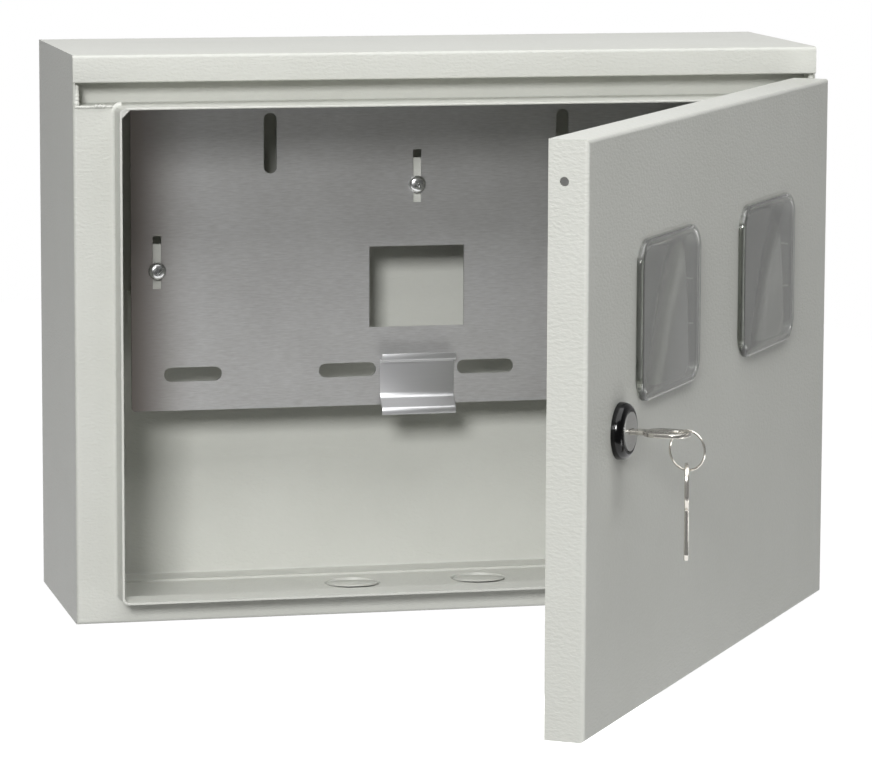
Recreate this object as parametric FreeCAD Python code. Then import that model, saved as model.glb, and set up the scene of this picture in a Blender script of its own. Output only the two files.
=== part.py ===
"""Wall-hung box for two electric meters: folded steel case, hinged door, two windows, lock and keys.

Millimetres. +Z is up, the wall is the plane Y = 0, the front faces -Y, and the origin is the centre of
the back face. The door stands open by REST_OPENING degrees, as the box is shown.
"""
import FreeCAD, Part
import math
import os

from FreeCAD import Vector

# Case
BOX_WIDTH = 416.0
BOX_HEIGHT = 310.0
BOX_DEPTH = 130.0
SHEET = 1.2
BEND_RADIUS = 2.0

# Front opening and its raised rim
SIDE_BORDER = 23.6
TOP_BORDER = 28.4
BOTTOM_BORDER = 14.5
RIM_HEIGHT = 18.0
RIM_CORNER_RADIUS = 2.5

# Hood over the door
FASCIA_HEIGHT = 15.0
FASCIA_EDGE_RADIUS = 1.0
STRIP_RECESS = 6.0

# Pressed knockouts in the floor
KNOCKOUT_RADIUS = 16.0
KNOCKOUT_PITCH = 74.0
KNOCKOUT_TO_WALL = 45.0
KNOCKOUT_PRESS = 2.0
KNOCKOUT_TAPER = 0.8

# Back tray and wall fixing holes
TRAY_FLANGE = 20.0
WALL_HOLE_RADIUS = 3.5
WALL_HOLE_FROM_SIDE = 78.0
WALL_HOLE_FROM_TOP = 45.0
WALL_HOLE_FROM_BOTTOM = 150.0

# Mounting panel
PANEL_FROM_SIDE = 44.3
PANEL_FROM_TOP = 27.0
PANEL_FROM_BOTTOM = 103.5
PANEL_SHEET = 1.5
PANEL_STANDOFF = 44.0
PANEL_CORNER_RADIUS = 2.0
METER_FROM_PANEL_SIDE = 79.2
UPRIGHT_SLOT_FROM_TOP = 29.5
UPRIGHT_SLOT_LENGTH = 34.0
UPRIGHT_SLOT_WIDTH = 7.4
LEVEL_SLOT_PITCH = 88.8
LEVEL_SLOT_FROM_BOTTOM = 20.5
LEVEL_SLOT_LENGTH = 33.0
LEVEL_SLOT_WIDTH = 8.0
FIXING_SLOT_WIDTH = 4.8
FIXING_SLOT_LENGTH = 30.0
FIXING_FROM_PANEL_SIDE = 14.7
FIXING_SIDE_FROM_TOP = 100.2
FIXING_MIDDLE_FROM_TOP = 54.0
FIXING_SLOT_ABOVE_SCREW = 19.7
CUTOUT_WIDTH = 55.0
CUTOUT_HEIGHT = 46.0
CUTOUT_BELOW_MIDDLE = 2.35

# Stand-off brackets and screws
BRACKET_WIDTH = 20.0
BRACKET_SHEET = 1.5
BRACKET_ABOVE_SCREW = 15.0
BRACKET_BELOW_SCREW = 17.0
BRACKET_FOOT = 18.0
SCREW_RADIUS = 2.0
SCREW_LENGTH = 9.0
SCREW_HEAD_RADIUS = 4.7
SCREW_HEAD_HEIGHT = 2.8
SCREW_CROWN_RADIUS = 3.3
SCREW_RECESS_LENGTH = 4.6
SCREW_RECESS_WIDTH = 0.9
SCREW_RECESS_DEPTH = 1.4
THREAD_CLEARANCE = 0.05

# Top-hat rail
RAIL_LENGTH = 43.0
RAIL_HEIGHT = 35.0
RAIL_LIP = 3.5
RAIL_SLOPE = 3.6
RAIL_DEPTH = 7.5
RAIL_SHEET = 1.0
RAIL_BEND = 1.6
RAIL_FROM_PANEL_BOTTOM = 12.5

# Door
DOOR_SIDE_INSET = 0.5
DOOR_UNDER_FASCIA = 2.0
DOOR_ABOVE_FLOOR = 5.0
DOOR_THICKNESS = 20.0
DOOR_GAP = 3.0
REST_OPENING = 56.5
SEAL_HOLE_RADIUS = 2.25
SEAL_HOLE_FROM_FACE = 12.0
SEAL_HOLE_FROM_TOP = 20.0

# Hinges
HINGE_FROM_SIDE = 7.5
HINGE_FROM_FLANGE = 15.0
HINGE_FROM_TOP = 66.0
HINGE_FROM_BOTTOM = 54.0
KNUCKLE_RADIUS = 3.8
KNUCKLE_LENGTH = 18.0
KNUCKLE_GAP = 0.3
PIN_RADIUS = 2.0
PIN_CLEARANCE = 0.05
LEAF_SHEET = 2.0
LEAF_FOOT = 10.5
LEAF_NOTCH_CLEARANCE = 2.0

# Door seal
GASKET_WIDTH = 8.0
GASKET_CLEARANCE = 0.3

# Windows
WINDOW_WIDTH = 96.0
WINDOW_HEIGHT = 80.0
WINDOW_CORNER_RADIUS = 13.0
WINDOW_OUTSIDE_METER = 1.0
WINDOW_FROM_DOOR_TOP = 95.0
WINDOW_PROUD = 3.5
WINDOW_EDGE = 1.4
WINDOW_WALL = 2.0
WINDOW_LEDGE = 2.0
WINDOW_CLEARANCE = 0.3
WINDOW_SKIRT = 3.4
TAB_HEIGHT = 21.0
TAB_REACH = 1.6
TAB_DEPTH = 2.2
TAB_SLIT = 1.0

# Lock
LOCK_FROM_RIM = 26.9
LOCK_FROM_DOOR_TOP = 144.5
BEZEL_RADIUS = 14.0
BEZEL_TOP_RADIUS = 10.6
BEZEL_HEIGHT = 5.6
BEZEL_SKIRT = 1.2
BEZEL_STEPS = 2
LOCK_FACE_RADIUS = 9.6
LOCK_FACE_PROUD = 5.9
LOCK_FLANGE_RADIUS = 11.6
LOCK_FLANGE_THICKNESS = 1.2
BARREL_RADIUS = 9.0
BARREL_FLAT = 8.0
BARREL_CLEARANCE = 0.2
PLUG_RADIUS = 6.5
PLUG_CLEARANCE = 0.05
NUT_ACROSS_FLATS = 24.0
NUT_THICKNESS = 4.0
CAM_BEHIND_FLANGE = 1.0
CAM_THICKNESS = 2.0
CAM_REACH = 34.0
CAM_WIDTH = 15.0
CAM_TIP_WIDTH = 10.0
CAM_SQUARE = 7.0
CAM_SCREW_ACROSS_FLATS = 8.0
CAM_SCREW_HEAD_HEIGHT = 2.8
CAM_SCREW_RADIUS = 2.0
CAM_SCREW_LENGTH = 8.0

# Keys and ring
KEY_LENGTH = 47.5
KEY_THICKNESS = 2.2
BOW_LENGTH = 22.5
BOW_WIDTH = 19.0
BOW_CORNER_RADIUS = 8.0
BOW_HOLE_RADIUS = 3.9
BOW_WEB = 2.4
BLADE_WIDTH = 7.0
BLADE_TIP = 3.0
BITTING_COUNT = 5
BITTING_PITCH = 3.4
BITTING_FROM_BOW = 6.0
BITTING_HALF_WIDTH = 1.3
BITTING_DEPTHS = (1.0, 1.6, 0.8, 1.8, 1.2)
KEY_BOW_PROUD = 7.0
KEYWAY_CLEARANCE = 0.2
RING_RADIUS = 9.6
RING_WIRE_RADIUS = 0.6
RING_WIRE_SIDES = 6
RING_CLEARANCE = 0.3
RING_TWIST = -12.0
SPARE_KEY_TWIST = 17.0

# Planes and axes that follow from the sizes above
HALF_WIDTH = BOX_WIDTH / 2
HALF_HEIGHT = BOX_HEIGHT / 2
FLANGE_Y = -BOX_DEPTH
OPENING_HALF = HALF_WIDTH - SIDE_BORDER
OPENING_TOP = HALF_HEIGHT - TOP_BORDER
OPENING_BOTTOM = -HALF_HEIGHT + BOTTOM_BORDER
RIM_FRONT_Y = FLANGE_Y - RIM_HEIGHT
RIM_FLAT_HALF = OPENING_HALF - RIM_CORNER_RADIUS
FASCIA_BOTTOM = HALF_HEIGHT - FASCIA_HEIGHT
PANEL_BACK_Y = -PANEL_STANDOFF
PANEL_FRONT_Y = PANEL_BACK_Y - PANEL_SHEET
PANEL_HALF = HALF_WIDTH - PANEL_FROM_SIDE
PANEL_TOP = HALF_HEIGHT - PANEL_FROM_TOP
PANEL_BOTTOM = -HALF_HEIGHT + PANEL_FROM_BOTTOM
METER_X = PANEL_HALF - METER_FROM_PANEL_SIDE
RAIL_CENTRE_Z = PANEL_BOTTOM + RAIL_FROM_PANEL_BOTTOM
DOOR_HALF = HALF_WIDTH - DOOR_SIDE_INSET
DOOR_TOP = FASCIA_BOTTOM - DOOR_UNDER_FASCIA
DOOR_BOTTOM = -HALF_HEIGHT + DOOR_ABOVE_FLOOR
DOOR_FACE_Y = FLANGE_Y - DOOR_GAP - DOOR_THICKNESS
HINGE_X = HALF_WIDTH - HINGE_FROM_SIDE
HINGE_Y = FLANGE_Y - HINGE_FROM_FLANGE
HINGE_HEIGHTS = {"upper": HALF_HEIGHT - HINGE_FROM_TOP, "lower": -HALF_HEIGHT + HINGE_FROM_BOTTOM}
WINDOW_CENTRE_Z = DOOR_TOP - WINDOW_FROM_DOOR_TOP
LOCK_X = -OPENING_HALF + LOCK_FROM_RIM
LOCK_Z = DOOR_TOP - LOCK_FROM_DOOR_TOP
CAM_FRONT = DOOR_FACE_Y - FLANGE_Y - SHEET - CAM_BEHIND_FLANGE
BARREL_BACK = CAM_FRONT + PLUG_CLEARANCE
BLADE_LENGTH = KEY_LENGTH - BOW_LENGTH
KEY_TIP = LOCK_FACE_PROUD + KEY_BOW_PROUD - BLADE_LENGTH
BOW_END = KEY_TIP + KEY_LENGTH
RING_SEAT = BOW_END - BOW_WEB / 2
RING_DROP = RING_RADIUS - RING_WIRE_RADIUS - RING_CLEARANCE - max(BOW_WEB, KEY_THICKNESS) / 2
SPARE_KEY_TOP = -RING_DROP - RING_RADIUS + RING_WIRE_RADIUS + RING_CLEARANCE + BOW_WEB

UP = Vector(0, 0, 1)
ALONG_X = Vector(1, 0, 0)
ALONG_Y = Vector(0, 1, 0)
TOL = 0.01


def block(x0, y0, z0, x1, y1, z1):
    """Box between two opposite corners."""
    return Part.makeBox(x1 - x0, y1 - y0, z1 - z0, Vector(x0, y0, z0))


def rounded_rectangle(half_u, low_v, high_v, radius):
    """Face in the XY plane: a rectangle centred in X with rounded corners."""
    centres = (
        (half_u - radius, low_v + radius, -90.0),
        (half_u - radius, high_v - radius, 0.0),
        (-half_u + radius, high_v - radius, 90.0),
        (-half_u + radius, low_v + radius, 180.0),
    )
    arcs = [Part.makeCircle(radius, Vector(u, v, 0), UP, a, a + 90.0) for u, v, a in centres]
    edges = []
    for arc, following in zip(arcs, arcs[1:] + arcs[:1]):
        edges.append(arc)
        edges.append(Part.makeLine(arc.Vertexes[-1].Point, following.Vertexes[0].Point))
    return Part.Face(Part.Wire(edges))


def upright_prism(face, front_y, depth):
    """Extrudes a face drawn in XY, as seen from the front, to run from front_y back by depth."""
    solid = face.extrude(Vector(0, 0, depth))
    solid.rotate(Vector(), ALONG_X, 90)
    solid.translate(Vector(0, front_y + depth, 0))
    return solid


def slot_tool(centre_x, centre_z, length, width, upright, front_y, depth):
    """Cutter for a round-ended slot in an upright sheet."""
    radius = width / 2
    reach = length / 2 - radius
    ends = [Part.makeCylinder(radius, depth, Vector(0, front_y, z), ALONG_Y) for z in (-reach, reach)]
    solid = block(-radius, front_y, -reach, radius, front_y + depth, reach).multiFuse(ends).removeSplitter()
    if not upright:
        solid.rotate(Vector(), ALONG_Y, 90)
    solid.translate(Vector(centre_x, 0, centre_z))
    return solid


def edges_at(shape, keep):
    """Edges whose every vertex and middle point pass a test."""
    found = []
    for edge in shape.Edges:
        points = [v.Point for v in edge.Vertexes]
        points.append(edge.valueAt((edge.FirstParameter + edge.LastParameter) / 2))
        if all(keep(p) for p in points):
            found.append(edge)
    return found


def near(value, target):
    """True where a coordinate lies on a plane."""
    return abs(value - target) < TOL


def front_shell():
    """Front frame with its raised rim, side walls and floor, folded from one sheet."""
    wall_top = HALF_HEIGHT - SHEET
    outer = block(-HALF_WIDTH, FLANGE_Y, -HALF_HEIGHT, HALF_WIDTH, 0, wall_top)
    outer_bends = edges_at(outer, lambda p: near(p.y, FLANGE_Y) and (
        near(p.z, -HALF_HEIGHT) or near(abs(p.x), HALF_WIDTH)))
    outer = outer.makeFillet(BEND_RADIUS, outer_bends)
    inside = HALF_WIDTH - SHEET
    inner = block(-inside, FLANGE_Y + SHEET, -HALF_HEIGHT + SHEET, inside, 1, HALF_HEIGHT)
    inner_bends = edges_at(inner, lambda p: near(p.y, FLANGE_Y + SHEET) and (
        near(p.z, -HALF_HEIGHT + SHEET) or near(abs(p.x), inside)))
    inner = inner.makeFillet(BEND_RADIUS - SHEET, inner_bends)
    shell = outer.cut(inner)

    rim_face = rounded_rectangle(
        OPENING_HALF + SHEET, OPENING_BOTTOM - SHEET, OPENING_TOP + SHEET, RIM_CORNER_RADIUS + SHEET)
    hole_face = rounded_rectangle(OPENING_HALF, OPENING_BOTTOM, OPENING_TOP, RIM_CORNER_RADIUS)
    rim = upright_prism(rim_face, RIM_FRONT_Y, RIM_HEIGHT + SHEET)
    hole = upright_prism(hole_face, RIM_FRONT_Y - 1, RIM_HEIGHT + SHEET + 2)
    shell = shell.fuse(rim).cut(hole).removeSplitter()
    reach = 2 * SHEET
    root = edges_at(shell, lambda p: near(p.y, FLANGE_Y) and abs(p.x) < OPENING_HALF + reach and (
        OPENING_BOTTOM - reach < p.z < OPENING_TOP + reach))
    shell = shell.makeFillet(BEND_RADIUS, root)

    # The hood closes the frame above the rim and covers the fronts of the side walls there.
    above_flange = block(-inside, FLANGE_Y, OPENING_TOP, inside, FLANGE_Y + BEND_RADIUS + SHEET, HALF_HEIGHT)
    rim_top = block(
        -RIM_FLAT_HALF, RIM_FRONT_Y, OPENING_TOP, RIM_FLAT_HALF, FLANGE_Y, OPENING_TOP + SHEET + BEND_RADIUS)
    fascia_room = block(-HALF_WIDTH, FLANGE_Y, FASCIA_BOTTOM, HALF_WIDTH, FLANGE_Y + SHEET, HALF_HEIGHT)
    bend_low = wall_top - BEND_RADIUS + SHEET
    bend_room = block(-HALF_WIDTH, FLANGE_Y, bend_low, HALF_WIDTH, FLANGE_Y + BEND_RADIUS, HALF_HEIGHT)
    shell = shell.cut([above_flange, rim_top, fascia_room, bend_room])

    floor_top = -HALF_HEIGHT + SHEET
    for side in (-1, 1):
        at = Vector(side * KNOCKOUT_PITCH / 2, -KNOCKOUT_TO_WALL, 0)
        low = KNOCKOUT_RADIUS - KNOCKOUT_TAPER
        dish_base = at + UP * (floor_top - KNOCKOUT_PRESS)
        dish = Part.makeCone(low, KNOCKOUT_RADIUS, KNOCKOUT_PRESS, dish_base)
        cup_base = at + UP * (-HALF_HEIGHT - KNOCKOUT_PRESS)
        cup = Part.makeCone(low + SHEET, KNOCKOUT_RADIUS + SHEET, KNOCKOUT_PRESS, cup_base)
        shell = shell.fuse(cup).cut(dish)
    return shell.removeSplitter()


def hood_roof():
    """Roof, front fascia, its return, the strip behind it and the top of the rim, folded from one sheet."""
    inside = HALF_WIDTH - SHEET
    strip_front = FLANGE_Y + STRIP_RECESS
    strip_back = strip_front + SHEET
    profile = [
        Vector(0, 0, HALF_HEIGHT),
        Vector(0, FLANGE_Y, HALF_HEIGHT),
        Vector(0, FLANGE_Y, FASCIA_BOTTOM),
        Vector(0, FLANGE_Y + SHEET, FASCIA_BOTTOM),
        Vector(0, FLANGE_Y + SHEET, HALF_HEIGHT - SHEET),
        Vector(0, 0, HALF_HEIGHT - SHEET),
    ]
    cap = Part.Face(Part.makePolygon(profile + profile[:1])).extrude(ALONG_X * BOX_WIDTH)
    cap.translate(ALONG_X * -HALF_WIDTH)
    outer_bend = edges_at(cap, lambda p: near(p.y, FLANGE_Y) and near(p.z, HALF_HEIGHT))
    cap = cap.makeFillet(BEND_RADIUS, outer_bend)
    inner_bend = edges_at(cap, lambda p: near(p.y, FLANGE_Y + SHEET) and near(p.z, HALF_HEIGHT - SHEET))
    cap = cap.makeFillet(BEND_RADIUS - SHEET, inner_bend)
    shelf = block(-inside, FLANGE_Y, FASCIA_BOTTOM, inside, strip_back, FASCIA_BOTTOM + SHEET)
    strip = block(-inside, strip_front, OPENING_TOP, inside, strip_back, FASCIA_BOTTOM + SHEET)
    ledge = block(-inside, FLANGE_Y, OPENING_TOP, inside, strip_back, OPENING_TOP + SHEET)
    rim_top = block(-RIM_FLAT_HALF, RIM_FRONT_Y, OPENING_TOP, RIM_FLAT_HALF, strip_back, OPENING_TOP + SHEET)
    hood = cap.multiFuse([shelf, strip, ledge, rim_top]).removeSplitter()
    lower_bend = edges_at(hood, lambda p: near(p.y, FLANGE_Y) and near(p.z, FASCIA_BOTTOM))
    return hood.makeFillet(FASCIA_EDGE_RADIUS, lower_bend)


def back_tray():
    """Rear wall with its edges folded forward inside the case."""
    half_x = HALF_WIDTH - SHEET
    half_z = HALF_HEIGHT - SHEET
    outer = block(-half_x, -TRAY_FLANGE, -half_z, half_x, 0, half_z)
    outer = outer.makeFillet(BEND_RADIUS, edges_at(outer, lambda p: near(p.y, 0)))
    inner = block(-half_x + SHEET, -TRAY_FLANGE - 1, -half_z + SHEET, half_x - SHEET, -SHEET, half_z - SHEET)
    inner = inner.makeFillet(BEND_RADIUS - SHEET, edges_at(inner, lambda p: near(p.y, -SHEET)))
    tray = outer.cut(inner)
    hole_x = HALF_WIDTH - WALL_HOLE_FROM_SIDE
    holes = []
    for x in (-hole_x, hole_x):
        for z in (HALF_HEIGHT - WALL_HOLE_FROM_TOP, -HALF_HEIGHT + WALL_HOLE_FROM_BOTTOM):
            holes.append(Part.makeCylinder(WALL_HOLE_RADIUS, 3 * SHEET, Vector(x, -2 * SHEET, z), ALONG_Y))
    return tray.cut(holes)


def fixing_places():
    """Screw centre of each panel fixing, by bracket name."""
    side_x = PANEL_HALF - FIXING_FROM_PANEL_SIDE
    side_z = PANEL_TOP - FIXING_SIDE_FROM_TOP
    return {
        "left": (-side_x, side_z),
        "right": (side_x, side_z),
        "top": (0.0, PANEL_TOP - FIXING_MIDDLE_FROM_TOP),
    }


def bracket(x, z):
    """Z-shaped stand-off bracket: foot on the rear wall, web forward, tab behind the panel."""
    half = BRACKET_WIDTH / 2
    low = z - BRACKET_BELOW_SCREW
    tab = block(x - half, PANEL_BACK_Y, low, x + half, PANEL_BACK_Y + BRACKET_SHEET, z + BRACKET_ABOVE_SCREW)
    web = block(x - half, PANEL_BACK_Y, low, x + half, -SHEET, low + BRACKET_SHEET)
    foot = block(x - half, -SHEET - BRACKET_SHEET, low - BRACKET_FOOT, x + half, -SHEET, low + BRACKET_SHEET)
    shape = tab.multiFuse([web, foot]).removeSplitter()
    bends = edges_at(shape, lambda p: near(p.z, low) and near(p.y, PANEL_BACK_Y))
    bends += edges_at(shape, lambda p: near(p.z, low + BRACKET_SHEET) and near(p.y, -SHEET))
    shape = shape.makeFillet(BRACKET_SHEET, bends)
    start = Vector(x, PANEL_BACK_Y - BRACKET_SHEET, z)
    thread = Part.makeCylinder(SCREW_RADIUS + THREAD_CLEARANCE, 3 * BRACKET_SHEET, start, ALONG_Y)
    return shape.cut(thread)


def mounting_panel():
    """Flat zinc-plated sheet with the meter slots, the narrow fixing slots and the cable cut-out."""
    face = rounded_rectangle(PANEL_HALF, PANEL_BOTTOM, PANEL_TOP, PANEL_CORNER_RADIUS)
    panel = upright_prism(face, PANEL_FRONT_Y, PANEL_SHEET)
    front = PANEL_FRONT_Y - 1
    depth = PANEL_SHEET + 2
    upright_z = PANEL_TOP - UPRIGHT_SLOT_FROM_TOP
    level_z = PANEL_BOTTOM + LEVEL_SLOT_FROM_BOTTOM
    cuts = []
    for meter_x in (-METER_X, METER_X):
        cuts.append(slot_tool(
            meter_x, upright_z, UPRIGHT_SLOT_LENGTH, UPRIGHT_SLOT_WIDTH, True, front, depth))
        for step in (-1, 1):
            x = meter_x + step * LEVEL_SLOT_PITCH / 2
            cuts.append(slot_tool(x, level_z, LEVEL_SLOT_LENGTH, LEVEL_SLOT_WIDTH, False, front, depth))
    half = FIXING_SLOT_WIDTH / 2
    for x, z in fixing_places().values():
        top = z + FIXING_SLOT_ABOVE_SCREW
        cuts.append(block(x - half, front, top - FIXING_SLOT_LENGTH, x + half, front + depth, top))
    fixing_low = fixing_places()["top"][1] + FIXING_SLOT_ABOVE_SCREW - FIXING_SLOT_LENGTH
    middle = (fixing_low + level_z + LEVEL_SLOT_WIDTH / 2) / 2 - CUTOUT_BELOW_MIDDLE
    half_x = CUTOUT_WIDTH / 2
    half_z = CUTOUT_HEIGHT / 2
    cuts.append(block(-half_x, front, middle - half_z, half_x, front + depth, middle + half_z))
    return panel.cut(cuts)


def cross_recess(top):
    """Cross-shaped driver recess, centred on Z, cut down from a height."""
    half_long = SCREW_RECESS_LENGTH / 2
    half_wide = SCREW_RECESS_WIDTH / 2
    low = top - SCREW_RECESS_DEPTH
    one = block(-half_long, -half_wide, low, half_long, half_wide, top + 1)
    other = block(-half_wide, -half_long, low, half_wide, half_long, top + 1)
    return one.fuse(other)


def pan_head_screw():
    """Screw along Z with its tapered head's seat at Z = 0 and the shank below."""
    head = Part.makeCone(SCREW_HEAD_RADIUS, SCREW_CROWN_RADIUS, SCREW_HEAD_HEIGHT)
    shank = Part.makeCylinder(SCREW_RADIUS, SCREW_LENGTH, Vector(0, 0, -SCREW_LENGTH))
    return head.fuse(shank).cut(cross_recess(SCREW_HEAD_HEIGHT)).removeSplitter()


def panel_screws():
    """The screws that hold the panel to its brackets."""
    screws = []
    for x, z in fixing_places().values():
        screw = pan_head_screw()
        screw.rotate(Vector(), ALONG_X, 90)
        screw.translate(Vector(x, PANEL_FRONT_Y, z))
        screws.append(screw)
    return Part.makeCompound(screws)


def din_rail():
    """Short top-hat rail with sloping sides and its web against the panel."""
    half = RAIL_HEIGHT / 2
    lip = RAIL_DEPTH - RAIL_SHEET
    mouth = half - RAIL_LIP
    web = mouth - RAIL_SLOPE
    bend_turn = math.pi / 2 - math.atan2(RAIL_SLOPE, lip)
    mitre = RAIL_SHEET * math.tan(bend_turn / 2)
    upper = [
        (0, web + mitre), (lip, mouth + mitre), (lip, half),
        (RAIL_DEPTH, half), (RAIL_DEPTH, mouth), (RAIL_SHEET, web),
    ]
    lower = [(out, -z) for out, z in reversed(upper)]
    start = -RAIL_LENGTH / 2
    points = [Vector(start, PANEL_FRONT_Y - out, RAIL_CENTRE_Z + z) for out, z in upper + lower]
    rail = Part.Face(Part.makePolygon(points + points[:1])).extrude(ALONG_X * RAIL_LENGTH)
    inside = RAIL_BEND
    outside = RAIL_BEND + RAIL_SHEET
    bends = (
        (0, web + mitre, outside), (RAIL_SHEET, web, inside),
        (lip, mouth + mitre, inside), (RAIL_DEPTH, mouth, outside),
    )
    for out, z, radius in bends:
        for level in (RAIL_CENTRE_Z - z, RAIL_CENTRE_Z + z):
            along = edges_at(rail, lambda p: near(p.y, PANEL_FRONT_Y - out) and near(p.z, level))
            rail = rail.makeFillet(radius, along)
    return rail


def hinge_knuckle(z_low):
    """Bored knuckle on the hinge axis, from z_low up."""
    at = Vector(HINGE_X, HINGE_Y, z_low)
    return Part.makeCylinder(KNUCKLE_RADIUS, KNUCKLE_LENGTH, at)


def hinge_bore(z_low, clearance):
    """Cutter for the pin's hole through a knuckle."""
    at = Vector(HINGE_X, HINGE_Y, z_low - 1)
    return Part.makeCylinder(PIN_RADIUS + clearance, KNUCKLE_LENGTH + 2, at)


def box_hinge_leaf(z):
    """Lower half of a hinge: foot on the flange, plate forward to the knuckle."""
    low = z - KNUCKLE_LENGTH
    left = HINGE_X - KNUCKLE_RADIUS
    plate = block(left, HINGE_Y, low, left + LEAF_SHEET, FLANGE_Y, z)
    foot = block(HINGE_X - LEAF_FOOT, FLANGE_Y - LEAF_SHEET, low, left + LEAF_SHEET, FLANGE_Y, z)
    return hinge_knuckle(low).multiFuse([plate, foot]).cut(hinge_bore(low, 0)).removeSplitter()


def hinge_pin(z):
    """Pin fixed in the lower knuckle and free in the upper one."""
    length = 2 * KNUCKLE_LENGTH + KNUCKLE_GAP
    return Part.makeCylinder(PIN_RADIUS, length, Vector(HINGE_X, HINGE_Y, z - KNUCKLE_LENGTH))


def door_hinge_leaf(z):
    """Upper half of a hinge: knuckle on a block that stands on the door's inner face."""
    low = z + KNUCKLE_GAP
    high = low + KNUCKLE_LENGTH
    skin = DOOR_FACE_Y + SHEET
    neck = block(HINGE_X - KNUCKLE_RADIUS, skin, low, HINGE_X + KNUCKLE_RADIUS, HINGE_Y, high)
    foot = block(HINGE_X - LEAF_FOOT, skin, low, HINGE_X + KNUCKLE_RADIUS, skin + LEAF_SHEET, high)
    return hinge_knuckle(low).multiFuse([neck, foot]).cut(hinge_bore(low, PIN_CLEARANCE)).removeSplitter()


def window_places():
    """Centre X of each window, by name."""
    x = METER_X + WINDOW_OUTSIDE_METER
    return {"left": -x, "right": x}


def window_hole_half():
    """Half width and half height of the door's window cut-out."""
    return WINDOW_WIDTH / 2 - WINDOW_LEDGE, WINDOW_HEIGHT / 2 - WINDOW_LEDGE


def door_panel():
    """Door tray folded from one sheet, with its cut-outs."""
    half = DOOR_HALF
    back_y = DOOR_FACE_Y + DOOR_THICKNESS
    outer = block(-half, DOOR_FACE_Y, DOOR_BOTTOM, half, back_y, DOOR_TOP)
    outer = outer.makeFillet(BEND_RADIUS, edges_at(outer, lambda p: near(p.y, DOOR_FACE_Y)))
    inner = block(
        -half + SHEET, DOOR_FACE_Y + SHEET, DOOR_BOTTOM + SHEET, half - SHEET, back_y + 1, DOOR_TOP - SHEET)
    inner = inner.makeFillet(BEND_RADIUS - SHEET, edges_at(inner, lambda p: near(p.y, DOOR_FACE_Y + SHEET)))
    door = outer.cut(inner)
    cuts = []
    hole_x, hole_z = window_hole_half()
    for x in window_places().values():
        face = rounded_rectangle(hole_x, -hole_z, hole_z, WINDOW_CORNER_RADIUS - WINDOW_LEDGE)
        hole = upright_prism(face, DOOR_FACE_Y - 1, SHEET + 2)
        hole.translate(Vector(x, 0, WINDOW_CENTRE_Z))
        cuts.append(hole)
    barrel_hole = barrel_section(BARREL_CLEARANCE, -1, SHEET + 2)
    barrel_hole.translate(Vector(LOCK_X, DOOR_FACE_Y, LOCK_Z))
    cuts.append(barrel_hole)
    seal_at = Vector(-half - 1, DOOR_FACE_Y + SEAL_HOLE_FROM_FACE, DOOR_TOP - SEAL_HOLE_FROM_TOP)
    cuts.append(Part.makeCylinder(SEAL_HOLE_RADIUS, SHEET + 2, seal_at, ALONG_X))
    for z in HINGE_HEIGHTS.values():
        low = z - KNUCKLE_LENGTH - LEAF_NOTCH_CLEARANCE
        cuts.append(block(
            half - SHEET, DOOR_FACE_Y + BEND_RADIUS, low, half + 1, back_y + 1, z + LEAF_NOTCH_CLEARANCE))
    return door.cut(cuts)


def door_gasket():
    """Foam seal on the door's inner face, in line with the rim."""
    middle = SHEET / 2
    reach = GASKET_WIDTH / 2
    skin = DOOR_FACE_Y + SHEET
    depth = RIM_FRONT_Y - GASKET_CLEARANCE - skin
    rings = []
    for offset in (middle + reach, middle - reach):
        radius = RIM_CORNER_RADIUS + offset
        face = rounded_rectangle(
            OPENING_HALF + offset, OPENING_BOTTOM - offset, OPENING_TOP + offset, max(radius, SHEET))
        rings.append(upright_prism(face, skin, depth))
    return rings[0].cut(rings[1])


def window(x):
    """Clear moulded pane: raised face, skirt through the door and a snap tab on each side."""
    half_x = WINDOW_WIDTH / 2
    half_z = WINDOW_HEIGHT / 2
    hole_x, hole_z = window_hole_half()
    hole_radius = WINDOW_CORNER_RADIUS - WINDOW_LEDGE
    front = DOOR_FACE_Y - WINDOW_PROUD
    pane_face = rounded_rectangle(half_x, -half_z, half_z, WINDOW_CORNER_RADIUS)
    pane = upright_prism(pane_face, front, WINDOW_PROUD)
    pane = pane.makeChamfer(WINDOW_EDGE, edges_at(pane, lambda p: near(p.y, front)))
    skirt_x = hole_x - WINDOW_CLEARANCE
    skirt_z = hole_z - WINDOW_CLEARANCE
    skirt_face = rounded_rectangle(skirt_x, -skirt_z, skirt_z, hole_radius - WINDOW_CLEARANCE)
    skirt = upright_prism(skirt_face, DOOR_FACE_Y, SHEET + WINDOW_SKIRT)
    skirt_back = DOOR_FACE_Y + SHEET + WINDOW_SKIRT
    tab_front = DOOR_FACE_Y + SHEET + WINDOW_CLEARANCE
    tabs = []
    slits = []
    for side in (-1, 1):
        root = side * (skirt_x - WINDOW_WALL / 2)
        tip = side * (hole_x + TAB_REACH)
        left, right = sorted((root, tip))
        tabs.append(block(
            left, tab_front, -TAB_HEIGHT / 2, right, tab_front + TAB_DEPTH, TAB_HEIGHT / 2))
        left, right = sorted((side * (skirt_x - 2 * WINDOW_WALL), side * (skirt_x + WINDOW_WALL)))
        for end in (-1, 1):
            middle = end * (TAB_HEIGHT + TAB_SLIT) / 2
            slits.append(block(
                left, tab_front, middle - TAB_SLIT / 2, right, skirt_back + 1, middle + TAB_SLIT / 2))
    inner_x = skirt_x - WINDOW_WALL
    inner_z = skirt_z - WINDOW_WALL
    pocket_face = rounded_rectangle(inner_x, -inner_z, inner_z, hole_radius - WINDOW_CLEARANCE - WINDOW_WALL)
    pocket_front = front + WINDOW_WALL
    pocket = upright_prism(pocket_face, pocket_front, skirt_back + 1 - pocket_front)
    shape = pane.multiFuse([skirt] + tabs).cut(pocket).cut(slits).removeSplitter()
    shape.translate(Vector(x, 0, WINDOW_CENTRE_Z))
    return shape


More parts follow.
